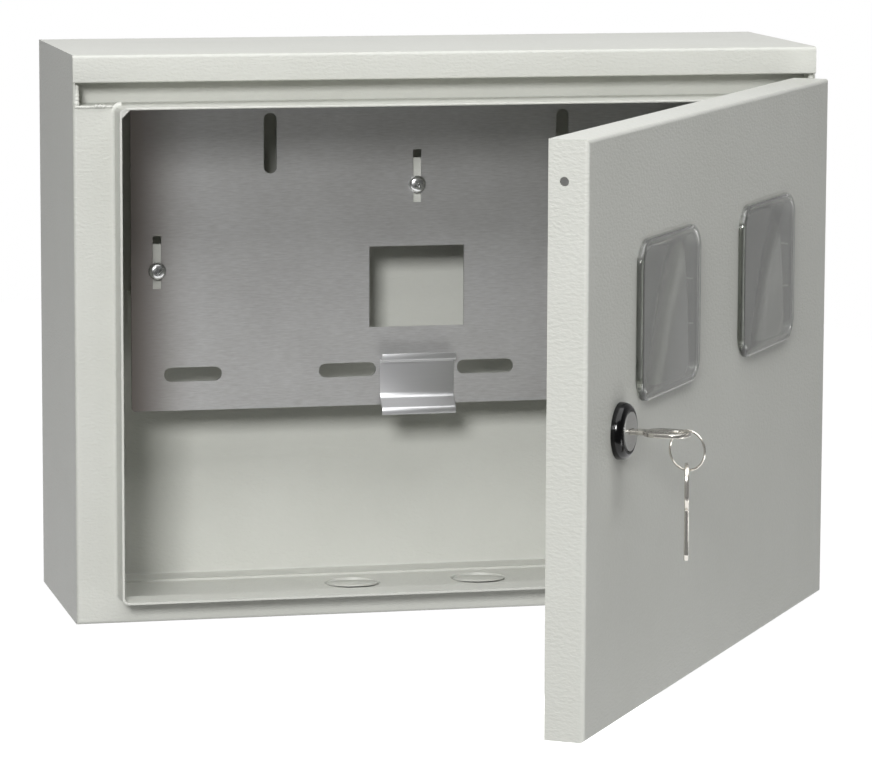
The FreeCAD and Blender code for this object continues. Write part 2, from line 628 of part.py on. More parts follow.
def facing_out(shape):
    """Turns a shape built along +Z so that +Z points out of the door and +Y points up."""
    shape.rotate(Vector(), ALONG_X, 90)
    return shape


def at_lock(shape):
    """Moves a shape from the lock's own frame, Z = 0 on the door's face, to the closed door."""
    facing_out(shape)
    shape.translate(Vector(LOCK_X, DOOR_FACE_Y, LOCK_Z))
    return shape


def barrel_section(clearance, front_y, depth):
    """Barrel with two flats, along +Y from front_y."""
    barrel = Part.makeCylinder(BARREL_RADIUS + clearance, depth, Vector(0, front_y, 0), ALONG_Y)
    flat = BARREL_FLAT + clearance
    reach = BARREL_RADIUS + 1
    return barrel.common(block(-flat, front_y, -reach, flat, front_y + depth, reach))


def lock_bezel():
    """Black cap ring with a rounded flank."""
    bore = LOCK_FACE_RADIUS + BARREL_CLEARANCE
    recess = LOCK_FLANGE_RADIUS + BARREL_CLEARANCE
    flank = []
    for step in range(BEZEL_STEPS + 1):
        turn = math.radians(90.0 * step / BEZEL_STEPS)
        flank.append(Vector(
            BEZEL_TOP_RADIUS + (BEZEL_RADIUS - BEZEL_TOP_RADIUS) * math.cos(turn), 0,
            BEZEL_SKIRT + (BEZEL_HEIGHT - BEZEL_SKIRT) * math.sin(turn)))
    outline = flank + [
        Vector(bore, 0, BEZEL_HEIGHT),
        Vector(bore, 0, LOCK_FLANGE_THICKNESS),
        Vector(recess, 0, LOCK_FLANGE_THICKNESS),
        Vector(recess, 0, 0),
        Vector(BEZEL_RADIUS, 0, 0),
    ]
    section = Part.Face(Part.makePolygon(outline + outline[:1]))
    return at_lock(section.revolve(Vector(), UP, 360))


def lock_body():
    """Metal barrel with a round face, a flange on the door and a bore for the cylinder."""
    face = Part.makeCylinder(LOCK_FACE_RADIUS, LOCK_FACE_PROUD)
    flange = Part.makeCylinder(LOCK_FLANGE_RADIUS, LOCK_FLANGE_THICKNESS)
    bore_start = Vector(0, 0, BARREL_BACK - 1)
    bore = Part.makeCylinder(PLUG_RADIUS + PLUG_CLEARANCE, LOCK_FACE_PROUD - BARREL_BACK + 2, bore_start)
    head = at_lock(face.fuse(flange))
    barrel = barrel_section(0, 0, -BARREL_BACK)
    barrel.translate(Vector(LOCK_X, DOOR_FACE_Y, LOCK_Z))
    return head.fuse(barrel).cut(at_lock(bore)).removeSplitter()


def polygon_points(count, radius):
    """Corners of a regular polygon round the Z axis."""
    angles = [2 * math.pi * i / count for i in range(count)]
    return [Vector(radius * math.cos(a), radius * math.sin(a), 0) for a in angles]


def hexagon(across_flats, height):
    """Hexagonal prism that stands on Z = 0."""
    points = polygon_points(6, across_flats / math.sqrt(3))
    return Part.Face(Part.makePolygon(points + points[:1])).extrude(UP * height)


def lock_nut():
    """Thin hexagon nut that clamps the lock behind the door."""
    nut = hexagon(NUT_ACROSS_FLATS, NUT_THICKNESS)
    nut = nut.cut(Part.makeCylinder(BARREL_RADIUS + THREAD_CLEARANCE, NUT_THICKNESS))
    nut.translate(Vector(0, 0, -SHEET - NUT_THICKNESS))
    return at_lock(nut)


def lock_cylinder():
    """Turning cylinder with a keyway across it and a square end for the cam."""
    plug = Part.makeCylinder(PLUG_RADIUS, LOCK_FACE_PROUD - BARREL_BACK, Vector(0, 0, BARREL_BACK))
    half = CAM_SQUARE / 2
    back = CAM_FRONT - CAM_THICKNESS
    square = block(-half, -half, back, half, half, BARREL_BACK)
    wide = BLADE_WIDTH / 2 + KEYWAY_CLEARANCE
    thick = KEY_THICKNESS / 2 + KEYWAY_CLEARANCE
    keyway = block(-wide, -thick, KEY_TIP - 1, wide, thick, LOCK_FACE_PROUD + 1)
    thread = Part.makeCylinder(CAM_SCREW_RADIUS + THREAD_CLEARANCE, CAM_SCREW_LENGTH + 1, Vector(0, 0, back))
    return at_lock(plug.fuse(square).cut(keyway).cut(thread).removeSplitter())


def lock_cam():
    """Flat cam that hangs down when the lock is open."""
    half = CAM_WIDTH / 2
    tip = CAM_TIP_WIDTH / 2
    edges = [
        Part.makeCircle(half, Vector(), UP, 0, 180),
        Part.makeLine(Vector(-half, 0, 0), Vector(-tip, -CAM_REACH, 0)),
        Part.makeLine(Vector(-tip, -CAM_REACH, 0), Vector(tip, -CAM_REACH, 0)),
        Part.makeLine(Vector(tip, -CAM_REACH, 0), Vector(half, 0, 0)),
    ]
    cam = Part.Face(Part.Wire(edges)).extrude(UP * CAM_THICKNESS)
    hole = CAM_SQUARE / 2 + THREAD_CLEARANCE
    cam = cam.cut(block(-hole, -hole, -1, hole, hole, CAM_THICKNESS + 1))
    corners = edges_at(cam, lambda p: near(p.y, -CAM_REACH) and near(abs(p.x), tip))
    cam = cam.makeFillet(tip / 2, corners)
    cam.translate(Vector(0, 0, CAM_FRONT - CAM_THICKNESS))
    return at_lock(cam)


def cam_screw():
    """Hexagon-headed screw that holds the cam on the cylinder's square end."""
    head = hexagon(CAM_SCREW_ACROSS_FLATS, CAM_SCREW_HEAD_HEIGHT)
    head.translate(Vector(0, 0, -CAM_SCREW_HEAD_HEIGHT))
    screw = head.fuse(Part.makeCylinder(CAM_SCREW_RADIUS, CAM_SCREW_LENGTH)).removeSplitter()
    screw.translate(Vector(0, 0, CAM_FRONT - CAM_THICKNESS))
    return at_lock(screw)


def key_blank():
    """Flat key in the XY plane, bow towards +Y with its end at Y = 0, blade pointing to -Y."""
    low_bow = -BOW_LENGTH
    bow = rounded_rectangle(BOW_WIDTH / 2, low_bow, 0, BOW_CORNER_RADIUS)
    half = BLADE_WIDTH / 2
    end = -KEY_LENGTH
    blade = Part.Face(Part.makePolygon([
        Vector(-half, low_bow + BOW_CORNER_RADIUS, 0),
        Vector(-half, end + BLADE_TIP, 0),
        Vector(-half + BLADE_TIP, end, 0),
        Vector(half - BLADE_TIP, end, 0),
        Vector(half, end + BLADE_TIP, 0),
        Vector(half, low_bow + BOW_CORNER_RADIUS, 0),
        Vector(-half, low_bow + BOW_CORNER_RADIUS, 0),
    ]))
    lift = Vector(0, 0, -KEY_THICKNESS / 2)
    plate = bow.extrude(UP * KEY_THICKNESS)
    hole_y = -BOW_WEB - BOW_HOLE_RADIUS
    plate = plate.cut(Part.makeCylinder(BOW_HOLE_RADIUS, KEY_THICKNESS, Vector(0, hole_y, 0)))
    key = plate.fuse(blade.extrude(UP * KEY_THICKNESS))
    for index in range(BITTING_COUNT):
        y = low_bow - BITTING_FROM_BOW - index * BITTING_PITCH
        deep = BITTING_DEPTHS[index]
        notch = Part.Face(Part.makePolygon([
            Vector(half - deep, y, -1),
            Vector(half + 1, y - BITTING_HALF_WIDTH, -1),
            Vector(half + 1, y + BITTING_HALF_WIDTH, -1),
            Vector(half - deep, y, -1),
        ]))
        key = key.cut(notch.extrude(UP * (KEY_THICKNESS + 2)))
    key.translate(lift)
    return key.removeSplitter()


def key():
    """Key in the lock, its bow level."""
    shape = key_blank()
    shape.rotate(Vector(), ALONG_X, 90)
    shape.translate(Vector(0, 0, BOW_END))
    return at_lock(shape)


def key_ring():
    """Wire ring through the key's bow."""
    points = polygon_points(RING_WIRE_SIDES, RING_WIRE_RADIUS)
    wire = Part.Face(Part.makePolygon(points + points[:1]))
    wire.translate(ALONG_X * RING_RADIUS)
    ring = wire.revolve(Vector(), ALONG_Y, 360)
    ring.rotate(Vector(), UP, 90)
    ring.rotate(Vector(), ALONG_Y, RING_TWIST)
    ring.translate(Vector(0, -RING_DROP, RING_SEAT))
    return at_lock(ring)


def spare_key():
    """Second key, hanging from the ring."""
    shape = key_blank()
    shape.translate(Vector(0, SPARE_KEY_TOP, 0))
    shape.rotate(Vector(), ALONG_Y, SPARE_KEY_TWIST)
    shape.translate(Vector(0, 0, RING_SEAT))
    return at_lock(shape)


def opened(shape):
    """Swings a piece of the closed door to the rest opening."""
    shape.rotate(Vector(HINGE_X, HINGE_Y, 0), UP, REST_OPENING)
    return shape


def build():
    """Every piece by node name."""
    pieces = {
        "front_shell": front_shell(),
        "hood_roof": hood_roof(),
        "back_tray": back_tray(),
        "mounting_panel": mounting_panel(),
        "panel_screws": panel_screws(),
        "din_rail": din_rail(),
        "door_panel": opened(door_panel()),
        "door_gasket": opened(door_gasket()),
        "lock_body": opened(lock_body()),
        "lock_bezel": opened(lock_bezel()),
        "lock_nut": opened(lock_nut()),
        "lock_cylinder": opened(lock_cylinder()),
        "lock_cam": opened(lock_cam()),
        "cam_screw": opened(cam_screw()),
        "key": opened(key()),
        "key_ring": opened(key_ring()),
        "spare_key": opened(spare_key()),
    }
    for name, (x, z) in fixing_places().items():
        pieces["bracket_" + name] = bracket(x, z)
    for name, z in HINGE_HEIGHTS.items():
        pieces["box_hinge_leaf_" + name] = box_hinge_leaf(z)
        pieces["hinge_pin_" + name] = hinge_pin(z)
        pieces["door_hinge_leaf_" + name] = opened(door_hinge_leaf(z))
    for name, x in window_places().items():
        pieces["window_" + name] = opened(window(x))
    return pieces


os.makedirs("parts", exist_ok=True)
for node, solid in build().items():
    solid.exportStep("parts/" + node + ".step")
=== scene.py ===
"""Looks, studio and camera for a wall-hung electric meter box with its door ajar."""
import logging
import math
from dataclasses import dataclass, field
from enum import Enum
from typing import Any, Callable, Sequence

import bmesh
import bpy
from mathutils import Matrix, Vector


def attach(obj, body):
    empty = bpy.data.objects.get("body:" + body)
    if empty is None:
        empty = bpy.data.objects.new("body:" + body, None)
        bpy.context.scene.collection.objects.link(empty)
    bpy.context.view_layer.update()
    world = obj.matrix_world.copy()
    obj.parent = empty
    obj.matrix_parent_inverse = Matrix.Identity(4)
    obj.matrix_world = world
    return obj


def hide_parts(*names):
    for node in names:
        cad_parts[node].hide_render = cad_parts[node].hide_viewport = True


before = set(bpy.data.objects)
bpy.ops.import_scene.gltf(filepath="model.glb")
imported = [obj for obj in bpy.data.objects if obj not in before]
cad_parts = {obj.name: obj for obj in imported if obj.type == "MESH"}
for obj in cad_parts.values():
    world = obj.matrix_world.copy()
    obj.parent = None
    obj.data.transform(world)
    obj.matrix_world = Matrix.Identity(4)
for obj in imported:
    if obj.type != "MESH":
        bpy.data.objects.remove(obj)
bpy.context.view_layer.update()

LOG = logging.getLogger("meter_box")
MM = 0.001
PHOTO_WIDTH = 872
SENSOR_MM = 36.0
MERGE_MM = 0.001
SHEET_MM = 1.2
DOOR_FACE_Y_MM = -153.0
HINGE_MM = (200.5, -145.0)
OPEN_DEG = 56.5
FOLD_REACH_MM = 0.05
BEND_STEPS = 5
EDGE_STEPS = 3
BLOCK_EDGE_DEG = 30.0
SOLID_EDGE_DEG = 35.0
FLAT_DEG = 1.0
CREASE_DEG = 40.0
FACING = 0.9
NOISE_LOW, NOISE_HIGH = 0.3, 0.7
WHITE = (1.0, 1.0, 1.0, 1.0)

Tree = bpy.types.NodeTree
Node = bpy.types.Node
Piece = bpy.types.Object
Material = bpy.types.Material
Socket = bpy.types.NodeSocket
Point = tuple[float, float, float]
Rings = Sequence[tuple[float, float]]


class Body(Enum):
    """Rigid bodies that pieces ride on."""

    CASE = "case"
    DOOR = "door"
    KEY = "inserted_key"
    SPARE = "hanging_key"


class Slot(Enum):
    """Material slots of the record."""

    PAINT = "light_grey_paint"
    ZINC = "zinc_plate"
    CLEAR = "clear_plastic"
    NICKEL = "nickel_plate"
    BLACK = "black_plastic"


class Domain(Enum):
    """What a selection in edit mode picks."""

    EDGE = "EDGE"
    FACE = "FACE"


class Merge(Enum):
    """How one piece works on another."""

    ADD = "UNION"
    CUT = "DIFFERENCE"


def srgb(code: str) -> tuple[float, float, float, float]:
    """Turns an sRGB hex colour into linear red, green, blue and alpha.

    Args:
        code: colour as "#rrggbb".

    Returns:
        Linear components with alpha 1.
    """
    parts = [int(code[i:i + 2], 16) / 255.0 for i in (1, 3, 5)]
    linear = [c / 12.92 if c <= 0.04045 else ((c + 0.055) / 1.055) ** 2.4 for c in parts]
    return (linear[0], linear[1], linear[2], 1.0)


def add_node(tree: Tree, kind: str, inputs: dict[str | int, Any] | None = None, **settings: Any) -> Node:
    """Adds a node, sets its values and makes its links.

    Args:
        tree: node tree that gets the node.
        kind: the shader node's type, such as "TexNoise".
        inputs: socket name or number to a value, or to the output socket that feeds it.
        settings: attributes of the node itself.

    Returns:
        The new node.
    """
    node = tree.nodes.new(f"ShaderNode{kind}")
    for key, value in settings.items():
        setattr(node, key, value)
    for key, value in (inputs or {}).items():
        if isinstance(value, Socket):
            tree.links.new(value, node.inputs[key])
        else:
            node.inputs[key].default_value = value
    return node


def new_material(name: str) -> tuple[Material, Tree, Node]:
    """Makes an empty node material.

    Args:
        name: the material's name.

    Returns:
        The material, its node tree and its output node.
    """
    material = bpy.data.materials.new(name)
    material.use_nodes = True
    tree = material.node_tree
    tree.nodes.clear()
    output = add_node(tree, "OutputMaterial")
    return material, tree, output


def blend_colours(tree: Tree, share: Socket, first: Any, second: Any) -> Socket:
    """Mixes two colours.

    Args:
        tree: node tree that gets the mix.
        share: how much of the second colour shows.
        first: a linear colour, or the output socket that gives it.
        second: the same for the second colour.

    Returns:
        The mixed colour.
    """
    mix = add_node(tree, "Mix", {"Factor": share, "A": first, "B": second}, data_type="RGBA")
    return mix.outputs["Result"]


def per_metre(size_mm: float) -> float:
    """Texture scale whose features are about size_mm across."""
    return 1.0 / (size_mm * MM)


@dataclass(frozen=True)
class PowderCoat:
    """Polyester powder coat on steel sheet: satin, with a fine orange peel and soft pooling of tone."""

    name: str = "powder_coated_steel"
    colour: str = "#cfd0ca"
    shade: str = "#c7c8c1"
    roughness: float = 0.38
    gloss_below: float = 0.05
    gloss_above: float = 0.07
    ior: float = 1.5
    peel_width_mm: float = 2.6
    peel_rise_mm: float = 1.3
    peel_height_mm: float = 0.3
    cloud_mm: float = 60.0

    def make(self) -> Material:
        """Builds the material.

        Returns:
            The material with its nodes.
        """
        material, tree, output = new_material(self.name)
        place = add_node(tree, "TexCoord").outputs["Object"]
        cloud = add_node(tree, "TexNoise", {
            "Vector": place, "Scale": per_metre(self.cloud_mm), "Detail": 4.0, "Roughness": 0.6})
        tone = blend_colours(tree, cloud.outputs["Fac"], srgb(self.colour), srgb(self.shade))
        across = per_metre(self.peel_width_mm)
        level = (across, across, per_metre(self.peel_rise_mm))
        sagged = add_node(tree, "Mapping", {"Vector": place, "Scale": level})
        peel = add_node(tree, "TexNoise", {
            "Vector": sagged.outputs["Vector"], "Scale": 1.0, "Detail": 2.0, "Roughness": 0.5})
        gloss = add_node(tree, "MapRange", {
            "Value": peel.outputs["Fac"], "To Min": self.roughness - self.gloss_below,
            "To Max": self.roughness + self.gloss_above})
        bump = add_node(tree, "Bump", {
            "Height": peel.outputs["Fac"], "Strength": 1.0, "Distance": self.peel_height_mm * MM})
        shader = add_node(tree, "BsdfPrincipled", {
            "Base Color": tone, "Roughness": gloss.outputs["Result"], "IOR": self.ior,
            "Normal": bump.outputs["Normal"]})
        tree.links.new(shader.outputs["BSDF"], output.inputs["Surface"])
        return material


@dataclass(frozen=True)
class RolledZinc:
    """Zinc plate on cold-rolled sheet: dull neutral metal whose level rolling marks smear what it mirrors.

    Towards its left edge it darkens to a brownish grey: painted shade of the case's side wall, partly a
    brownish discolouring of the zinc.
    """

    name: str = "zinc_plated_sheet"
    colour: str = "#d4d4d4"
    stain: str = "#b9b8b7"
    metallic: float = 0.85
    roughness: float = 0.58
    gloss_swing: float = 0.05
    smear: float = 0.86
    smear_turn: float = 0.25
    grain_mm: float = 0.8
    grain_length_mm: float = 6.0
    grain_height_mm: float = 0.012
    grain_share: float = 0.6
    stain_low: float = 0.32
    stain_high: float = 0.68
    cloud_mm: float = 70.0
    # Painted shade of the side wall with a brownish discolouring: its colour, its strength and the band
    # along X where it fades out.
    shade_and_tarnish: str = "#7d746e"
    shade_and_tarnish_share: float = 0.9
    shade_and_tarnish_edge_mm: float = -170.0
    shade_and_tarnish_end_mm: float = -122.0

    def make(self) -> Material:
        """Builds the material.

        Returns:
            The material with its nodes.
        """
        material, tree, output = new_material(self.name)
        place = add_node(tree, "TexCoord").outputs["Object"]
        level = (per_metre(self.grain_length_mm), per_metre(self.grain_mm), per_metre(self.grain_mm))
        rolled = add_node(tree, "Mapping", {"Vector": place, "Scale": level})
        grain = add_node(tree, "TexNoise", {
            "Vector": rolled.outputs["Vector"], "Scale": 1.0, "Detail": 3.0, "Roughness": 0.6})
        cloud = add_node(tree, "TexNoise", {
            "Vector": place, "Scale": per_metre(self.cloud_mm), "Detail": 5.0, "Roughness": 0.6})
        blend = add_node(tree, "Mix", {
            "Factor": self.grain_share, "A": cloud.outputs["Fac"], "B": grain.outputs["Fac"]})
        weight = add_node(tree, "MapRange", {
            "Value": blend.outputs["Result"], "From Min": self.stain_low, "From Max": self.stain_high})
        tone = blend_colours(tree, weight.outputs["Result"], srgb(self.stain), srgb(self.colour))
        across = add_node(tree, "SeparateXYZ", {"Vector": place})
        # Painted shade: darkens the zinc towards its left edge, where the case's side wall shades it, with a
        # brownish discolouring.
        shaded_and_tarnished = add_node(tree, "MapRange", {
            "Value": across.outputs["X"], "From Min": self.shade_and_tarnish_edge_mm * MM,
            "From Max": self.shade_and_tarnish_end_mm * MM, "To Min": self.shade_and_tarnish_share, "To Max": 0.0},
            interpolation_type="SMOOTHSTEP")
        tone = blend_colours(tree, shaded_and_tarnished.outputs["Result"], tone, srgb(self.shade_and_tarnish))
        gloss = add_node(tree, "MapRange", {
            "Value": grain.outputs["Fac"], "From Min": NOISE_LOW, "From Max": NOISE_HIGH,
            "To Min": self.roughness - self.gloss_swing, "To Max": self.roughness + self.gloss_swing})
        bump = add_node(tree, "Bump", {
            "Height": grain.outputs["Fac"], "Strength": 1.0, "Distance": self.grain_height_mm * MM})
        rolling = add_node(tree, "Tangent", direction_type="RADIAL", axis="Z")
        shader = add_node(tree, "BsdfPrincipled", {
            "Base Color": tone, "Metallic": self.metallic, "Roughness": gloss.outputs["Result"],
            "Anisotropic": self.smear, "Anisotropic Rotation": self.smear_turn,
            "Tangent": rolling.outputs["Tangent"], "Normal": bump.outputs["Normal"]})
        tree.links.new(shader.outputs["BSDF"], output.inputs["Surface"])
        return material


@dataclass(frozen=True)
class PlatedMetal:
    """Plated metal: bright or satin, drawn out level, so that faint streaks break up the gloss."""

    name: str
    colour: str
    mark: str
    roughness: float
    metallic: float = 1.0
    gloss_swing: float = 0.02
    streak_mm: float = 0.6
    streak_length_mm: float = 14.0

    def make(self) -> Material:
        """Builds the material.

        Returns:
            The material with its nodes.
        """
        material, tree, output = new_material(self.name)
        place = add_node(tree, "TexCoord").outputs["Object"]
        along = per_metre(self.streak_length_mm)
        level = (along, along, per_metre(self.streak_mm))
        drawn = add_node(tree, "Mapping", {"Vector": place, "Scale": level})
        streaks = add_node(tree, "TexNoise", {
            "Vector": drawn.outputs["Vector"], "Scale": 1.0, "Detail": 3.0, "Roughness": 0.6})
        tone = blend_colours(tree, streaks.outputs["Fac"], srgb(self.colour), srgb(self.mark))
        gloss = add_node(tree, "MapRange", {
            "Value": streaks.outputs["Fac"], "From Min": NOISE_LOW, "From Max": NOISE_HIGH,
            "To Min": self.roughness * (1.0 - self.gloss_swing),
            "To Max": self.roughness * (1.0 + self.gloss_swing)})
        shader = add_node(tree, "BsdfPrincipled", {
            "Base Color": tone, "Metallic": self.metallic, "Roughness": gloss.outputs["Result"]})
        tree.links.new(shader.outputs["BSDF"], output.inputs["Surface"])
        return material


@dataclass(frozen=True)
class GlossPlastic:
    """Injection-moulded ABS: deep colour under a smooth moulded gloss with faint flow marks."""

    name: str = "moulded_black_abs"
    colour: str = "#030303"
    bloom: str = "#080809"
    roughness: float = 0.14
    gloss_low: float = 0.7
    gloss_high: float = 1.4
    ior: float = 1.54
    specular: float = 0.3
    flow_mm: float = 6.0

    def make(self) -> Material:
        """Builds the material.

        Returns:
            The material with its nodes.
        """
        material, tree, output = new_material(self.name)
        place = add_node(tree, "TexCoord").outputs["Object"]
        flow = add_node(tree, "TexNoise", {
            "Vector": place, "Scale": per_metre(self.flow_mm), "Detail": 3.0})
        tone = blend_colours(tree, flow.outputs["Fac"], srgb(self.colour), srgb(self.bloom))
        gloss = add_node(tree, "MapRange", {
            "Value": flow.outputs["Fac"], "To Min": self.roughness * self.gloss_low,
            "To Max": self.roughness * self.gloss_high})
        shader = add_node(tree, "BsdfPrincipled", {
            "Base Color": tone, "Roughness": gloss.outputs["Result"], "IOR": self.ior,
            "Specular IOR Level": self.specular})
        tree.links.new(shader.outputs["BSDF"], output.inputs["Surface"])
        return material


@dataclass(frozen=True)
class ClearPlastic:
    """Moulded clear polycarbonate: see-through with a faint haze and slightly wavy faces."""

    name: str = "clear_polycarbonate"
    colour: str = "#e0e1de"
    roughness: float = 0.03
    clarity: float = 0.87
    ior: float = 1.58
    wave_mm: float = 25.0
    wave_height_mm: float = 0.05
    wave_strength: float = 0.4

    def make(self) -> Material:
        """Builds the material.

        Returns:
            The material with its nodes.
        """
        material, tree, output = new_material(self.name)
        place = add_node(tree, "TexCoord").outputs["Object"]
        wave = add_node(tree, "TexNoise", {
            "Vector": place, "Scale": per_metre(self.wave_mm), "Detail": 1.0})
        bump = add_node(tree, "Bump", {
            "Height": wave.outputs["Fac"], "Strength": self.wave_strength,
            "Distance": self.wave_height_mm * MM})
        shader = add_node(tree, "BsdfPrincipled", {
            "Base Color": srgb(self.colour), "Roughness": self.roughness, "IOR": self.ior,
            "Transmission Weight": self.clarity, "Normal": bump.outputs["Normal"]})
        tree.links.new(shader.outputs["BSDF"], output.inputs["Surface"])
        return material


@dataclass(frozen=True)
class FoamSeal:
    """Closed-cell foam strip: matt dark grey with small pores."""

    name: str = "closed_cell_foam"
    colour: str = "#2b2c2d"
    pore: str = "#161617"
    roughness: float = 0.85
    ior: float = 1.45
    pore_mm: float = 0.8
    pore_depth_mm: float = 0.15
    pore_strength: float = 0.8

    def make(self) -> Material:
        """Builds the material.

        Returns:
            The material with its nodes.
        """
        material, tree, output = new_material(self.name)
        place = add_node(tree, "TexCoord").outputs["Object"]
        pores = add_node(tree, "TexVoronoi", {"Vector": place, "Scale": per_metre(self.pore_mm)})
        tone = blend_colours(tree, pores.outputs["Distance"], srgb(self.pore), srgb(self.colour))
        bump = add_node(tree, "Bump", {
            "Height": pores.outputs["Distance"], "Strength": self.pore_strength,
            "Distance": self.pore_depth_mm * MM})
        shader = add_node(tree, "BsdfPrincipled", {
            "Base Color": tone, "Roughness": self.roughness, "IOR": self.ior,
            "Normal": bump.outputs["Normal"]})
        tree.links.new(shader.outputs["BSDF"], output.inputs["Surface"])
        return material


@dataclass(frozen=True)
class StudioPaper:
    """White studio paper: matt, with its own glow for the camera so that lit paper reads as white."""

    name: str = "white_studio_paper"
    colour: str = "#9a9a9a"
    glow: float = 0.97

    def make(self) -> Material:
        """Builds the material.

        Returns:
            The material with its nodes.
        """
        material, tree, output = new_material(self.name)
        path = add_node(tree, "LightPath")
        seen = add_node(tree, "Math", {
            0: path.outputs["Is Camera Ray"], 1: path.outputs["Is Glossy Ray"]}, operation="ADD")
        seen = add_node(tree, "Math", {
            0: seen.outputs["Value"], 1: path.outputs["Is Transmission Ray"]},
            operation="ADD", use_clamp=True)
        strength = add_node(tree, "Math", {
            0: seen.outputs["Value"], 1: self.glow}, operation="MULTIPLY")
        glow = add_node(tree, "Emission", {"Strength": strength.outputs["Value"]})
        matt = add_node(tree, "BsdfDiffuse", {"Color": srgb(self.colour)})
        both = add_node(tree, "AddShader", {0: glow.outputs["Emission"], 1: matt.outputs["BSDF"]})
        tree.links.new(both.outputs["Shader"], output.inputs["Surface"])
        return material


Finish = PowderCoat | RolledZinc | PlatedMetal | GlossPlastic | ClearPlastic | FoamSeal | StudioPaper
PAINT = PowderCoat()
ZINC_SHEET = RolledZinc()
BRIGHT_ZINC = PlatedMetal("bright_zinc_plate", "#dcdddd", "#d2d3d3", 0.24)
ROLLED_STRIP = PlatedMetal("rolled_zinc_strip", "#dcdcde", "#d6d6d8", 0.37)
SATIN_CASTING = PlatedMetal("satin_zinc_casting", "#c6c6c3", "#b4b4b1", 0.36, metallic=0.7)
NICKEL = PlatedMetal("nickel_plated_brass", "#dedbd4", "#d0ccc4", 0.25, metallic=0.92)
BLACK_ABS = GlossPlastic()
CLEAR_PC = ClearPlastic()
# Darker copy of the clear plastic, put on the windows' rims as painted shade.
CLEAR_RIM_SHADE = ClearPlastic("clear_polycarbonate_rim_shade", "#9a9d97", roughness=0.05, clarity=1.0)
FOAM = FoamSeal()
PAPER = StudioPaper()
MADE: dict[str, Material] = {}


def finish_of(finish: Finish) -> Material:
    """Material of a finish, made once.

    Args:
        finish: one of the finish dataclasses.

    Returns:
        The shared material.
    """
    if finish.name not in MADE:
        MADE[finish.name] = finish.make()
    return MADE[finish.name]


def dress(node: str, finish: Finish) -> None:
    """Gives a solid of the frame its finish.

    Args:
        node: the solid's name.
        finish: one of the finish dataclasses.
    """
    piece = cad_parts[node]
    piece.data.materials.clear()
    piece.data.materials.append(finish_of(finish))
    LOG.info("%s: %s", node, finish.name)


def metres(*values_mm: float) -> tuple[float, ...]:
    """Millimetres as metres."""
    return tuple(value * MM for value in values_mm)


def start_edit() -> None:
    """Enters edit mode."""
    bpy.ops.object.mode_set(mode="EDIT")


def end_edit() -> None:
    """Leaves edit mode."""
    bpy.ops.object.mode_set(mode="OBJECT")


def deselect() -> None:
    """Leaves edit mode and clears the selection."""
    if bpy.context.object and bpy.context.object.mode != "OBJECT":
        end_edit()
    bpy.ops.object.select_all(action="DESELECT")


def keep_place() -> None:
    """Puts the place, turn and size of the active piece into its mesh."""
    bpy.ops.object.transform_apply(location=True, rotation=True, scale=True)


def activate(piece: Piece) -> None:
    """Makes a piece the only selected one, and the active one.

    Args:
        piece: the piece to work on.
    """
    deselect()
    piece.select_set(True)
    bpy.context.view_layer.objects.active = piece


def face_out() -> None:
    """Turns every face of the piece in edit mode outwards and leaves edit mode."""
    bpy.ops.mesh.select_all(action="SELECT")
    bpy.ops.mesh.normals_make_consistent(inside=False)
    end_edit()


def set_place(piece: Piece, place: Matrix) -> None:
    """Moves a piece and keeps the place in its mesh.

    Args:
        piece: the object to move.
        place: where its own frame goes, in metres.
    """
    activate(piece)
    piece.matrix_world = place @ piece.matrix_world
    keep_place()


def add_block(name: str, centre_mm: Sequence[float], size_mm: Sequence[float]) -> Piece:
    """Adds a block to shape further.

    Args:
        name: the piece's name.
        centre_mm: middle of the block.
        size_mm: its size along X, Y and Z.

    Returns:
        The block, active and in object mode.
    """
    deselect()
    bpy.ops.mesh.primitive_cube_add(size=1.0, location=metres(*centre_mm))
    piece = bpy.context.object
    piece.name = name
    piece.scale = metres(*size_mm)
    keep_place()
    return piece


def add_sheet(
        name: str, centre_mm: Sequence[float], size_mm: Sequence[float], upright_deg: float = 0.0) -> Piece:
    """Adds a flat sheet to fold further.

    Args:
        name: the piece's name.
        centre_mm: middle of the sheet.
        size_mm: its width along X and its length.
        upright_deg: turn about X that stands it up.

    Returns:
        The sheet, active and in edit mode.
    """
    deselect()
    bpy.ops.mesh.primitive_plane_add(
        size=1.0, location=metres(*centre_mm), rotation=(math.radians(upright_deg), 0.0, 0.0))
    piece = bpy.context.object
    piece.name = name
    piece.scale = (*metres(*size_mm), 1.0)
    keep_place()
    start_edit()
    return piece


def pick(domain: Domain, wanted: Callable[[Any], bool]) -> None:
    """Selects the edges or faces of the piece in edit mode that pass a test.

    Args:
        domain: edges or faces.
        wanted: the test.
    """
    bpy.ops.mesh.select_mode(type=domain.value)
    bpy.ops.mesh.select_all(action="DESELECT")
    data = bpy.context.object.data
    mesh = bmesh.from_edit_mesh(data)
    for item in mesh.edges if domain is Domain.EDGE else mesh.faces:
        if wanted(item):
            item.select_set(True)
    bmesh.update_edit_mesh(data)


def push_out(depth_mm: float) -> None:
    """Extrudes the selected faces along Y."""
    bpy.ops.mesh.extrude_region_move(TRANSFORM_OT_translate={"value": metres(0.0, depth_mm, 0.0)})


